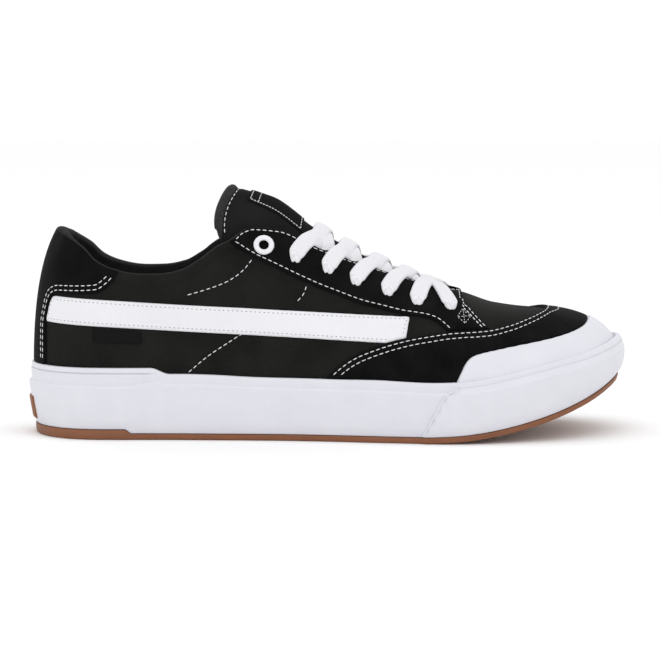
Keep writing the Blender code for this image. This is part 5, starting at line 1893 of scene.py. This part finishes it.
# %%
COUNTER_ROWS, TOE_ROWS, STAY_ROW = (0.0017, 0.0040), (0.0018, 0.0043), 0.0018
COLLAR_COVERS, UNDER_TOE, STAY_TOP_ROOM = 0.0035, -0.0010, 0.0007
FRONT_ROW_SHIFT, FRONT_ROW_LOW, FRONT_ROW_HIGH = (0.0026, 0.0011), 0.0545, 0.0650
EASING, SEAM_LIFT = 120, 0.0001
seen_lift = LAY + OVERLAY + 0.00005
white_rows = []
dashes = 0
for level in COUNTER_ROWS:
    for chain in contour(counter_field, level):
        room = table_value(top_field, chain[:, 0], chain[:, 1]) > COLLAR_COVERS
        for part in parts_where(chain, above_rim(chain) & room):
            dashes += skin_dashes(white_rows, part, seen_lift)
for level in TOE_ROWS:
    for chain in contour(toe_field, level):
        for part in parts_where(chain, above_rim(chain)):
            dashes += skin_dashes(white_rows, eased(part, EASING), seen_lift)
for side in (OUTER, INNER):
    for chain in contour(np.minimum(stay_fields[side], top_field + STAY_TOP_ROOM), STAY_ROW):
        bare = table_value(toe_field, chain[:, 0], chain[:, 1]) < UNDER_TOE
        for part in parts_where(chain, bare):
            dashes += skin_dashes(white_rows, part, seen_lift)
    front_row = stay_front - np.array(FRONT_ROW_SHIFT)
    front_row = front_row[(front_row[:, 1] > FRONT_ROW_LOW) & (front_row[:, 1] < FRONT_ROW_HIGH)]
    chain = np.stack(on_side(side, front_row[:, 0], front_row[:, 1]), -1)
    dashes += skin_dashes(white_rows, chain, seen_lift, FRONT_DASH)
    for line in seam_lines:
        chain = np.stack(on_side(side, line[:, 0], line[:, 1]), -1)
        dashes += skin_dashes(white_rows, chain, SEAM_LIFT)
print("white dashes on the skin:", dashes)

# %% [markdown]
# A small sewn box with a cross in it holds the foot of the eyestay, where the
# pull of the lace ends. It is drawn in the side view and laid on both sides.

# %%
BOX_MIDDLE, BOX_TURN, BOX_SIZE = (0.7225, 0.532), math.radians(-38), (0.0050, 0.0042)
box_run, box_height = side_place(*BOX_MIDDLE)
cosine, sine = math.cos(BOX_TURN), math.sin(BOX_TURN)
corners = []
for across, upward in ((-1, -1), (1, -1), (1, 1), (-1, 1)):
    beside, above = across * BOX_SIZE[0] / 2, upward * BOX_SIZE[1] / 2
    corners.append((box_run + cosine * beside - sine * above, box_height + sine * beside + cosine * above))
for first, second in ((0, 1), (1, 2), (2, 3), (3, 0), (0, 2), (1, 3)):
    line = np.linspace(corners[first], corners[second], 9)
    for side in (OUTER, INNER):
        chain = np.stack(on_side(side, line[:, 0], line[:, 1]), -1)
        dashes += skin_dashes(white_rows, chain, seen_lift, BOX_DASH)
print("white dashes with the box:", dashes)

# %% [markdown]
# On the tongue one row crosses the free end in its trough, and finer rows frame
# the label, with a bar across it. All these white dashes are one piece.

# %%
REAR_HALF, REAR_POINTS, REAR_LIFT = 0.93, 120, -0.0005
FRAME_HALF, FRAME_FRONT, FRAME_BACK, FRAME_BAR = 0.88, 0.06, 0.94, 0.80
FRAME_POINTS, FRAME_LIFT = 30, 0.0008
rear_along = np.full(REAR_POINTS, TONGUE_REAR + STITCH_BACK * (TONGUE_FRONT - TONGUE_REAR))
rear_share = np.linspace(-REAR_HALF, REAR_HALF, REAR_POINTS)
dashes += tongue_dashes(white_rows, rear_along, rear_share, REAR_LIFT, SUEDE_DASH)
frame_sides = (
    ((-1, FRAME_FRONT), (1, FRAME_FRONT)), ((1, FRAME_FRONT), (1, FRAME_BACK)),
    ((1, FRAME_BACK), (-1, FRAME_BACK)), ((-1, FRAME_BACK), (-1, FRAME_FRONT)),
    ((-1, FRAME_BAR), (1, FRAME_BAR)),
)
for ends in frame_sides:
    first, second = (
        (LABEL_FRONT + (LABEL_BACK - LABEL_FRONT) * v, way * FRAME_HALF * LABEL_HALF) for way, v in ends
    )
    line = np.linspace(first, second, FRAME_POINTS)
    dashes += tongue_dashes(white_rows, line[:, 0], line[:, 1], FRAME_LIFT, LABEL_DASH)
finish_piece("white_stitches", joined(white_rows), thread, slot="white_lace", flat_angle=None)

# %% [markdown]
# The leather band is sewn along its edges with a short grey stitch.

# %%
BAND_ROW, BAND_COVERED = 0.0016, 0.0012
grey_rows = []
for side in (OUTER, INNER):
    band_field = side_field(band_outline, side)
    off_suede = np.minimum(-toe_field, -stay_fields[side])
    for chain in contour(np.minimum(band_field, -counter_field), BAND_ROW):
        bare = table_value(off_suede, chain[:, 0], chain[:, 1]) > BAND_COVERED
        for part in parts_where(chain, bare):
            dashes += skin_dashes(grey_rows, part, LAY + BAND, BAND_DASH)
finish_piece("band_stitches", joined(grey_rows), thread_grey, slot="white_leather", flat_angle=None)
print("dashes in all:", dashes)

# %% [markdown]
# ## Floor and light
#
# Shop pictures are taken on white paper in even light. The floor is one wide
# flat sheet. A plain white sky gives most of the light. A wide lamp above adds a
# soft top light, and a second in front keeps detail in the black suede. The
# view transform is the standard one, which leaves white paper white.

# %%
FLOOR_HALF = 4.0
floor_tool = bmesh.new()
bmesh.ops.create_grid(floor_tool, x_segments=1, y_segments=1, size=FLOOR_HALF)
floor_mesh = bpy.data.meshes.new("floor")
floor_tool.to_mesh(floor_mesh)
floor_tool.free()
floor = bpy.data.objects.new("floor", floor_mesh)
bpy.context.scene.collection.objects.link(floor)
floor_mesh.materials.append(rubber_material("paper", (0.985, 0.985, 0.985), (0.99, 0.99, 0.99), 0.9))

world = bpy.data.worlds.new("studio")
world.use_nodes = True
sky = world.node_tree.nodes["Background"]
sky.inputs["Color"].default_value = (1.0, 1.0, 1.0, 1.0)
sky.inputs["Strength"].default_value = 1.0
bpy.context.scene.world = world
bpy.context.scene.view_settings.view_transform = "Standard"


def lamp(name, spot, size, power, at=(0, 0, 0.05)):
    """Square area lamp that faces a point."""
    data = bpy.data.lights.new(name, "AREA")
    data.shape = "SQUARE"
    data.size = size
    data.energy = power
    made = bpy.data.objects.new(name, data)
    made.location = spot
    facing = Vector(at) - Vector(spot)
    made.rotation_euler = facing.to_track_quat("-Z", "Y").to_euler()
    bpy.context.scene.collection.objects.link(made)
    return made


lamp("top lamp", (0.1, -0.3, 1.6), 1.0, 3)
lamp("front lamp", (-0.5, -1.6, 0.9), 0.8, 2)
print("lamps:", len(bpy.data.lights))

# %% [markdown]
# ## Camera
#
# The camera is far off with a long lens, so that near and far side are almost
# the same size, and looks slightly down at the outer side of the shoe.

# %%
CAMERA_RISE, CAMERA_AWAY, CAMERA_LENS, CAMERA_SENSOR = math.radians(6.0), 1.3826, 150, 36
target = Vector((0.00126, 0.0, 0.0506))
camera_data = bpy.data.cameras.new("camera")
camera_data.lens = CAMERA_LENS
camera_data.sensor_width = CAMERA_SENSOR
camera = bpy.data.objects.new("camera", camera_data)
camera.location = target + CAMERA_AWAY * Vector((0.0, -math.cos(CAMERA_RISE), math.sin(CAMERA_RISE)))
camera.rotation_euler = (target - camera.location).to_track_quat("-Z", "Y").to_euler()
bpy.context.scene.collection.objects.link(camera)
bpy.context.scene.camera = camera
print("camera at", [round(value, 3) for value in camera.location])

# %% [markdown]
#
# The number of pieces made is printed.

# %%
print("pieces:", len(pieces_made))
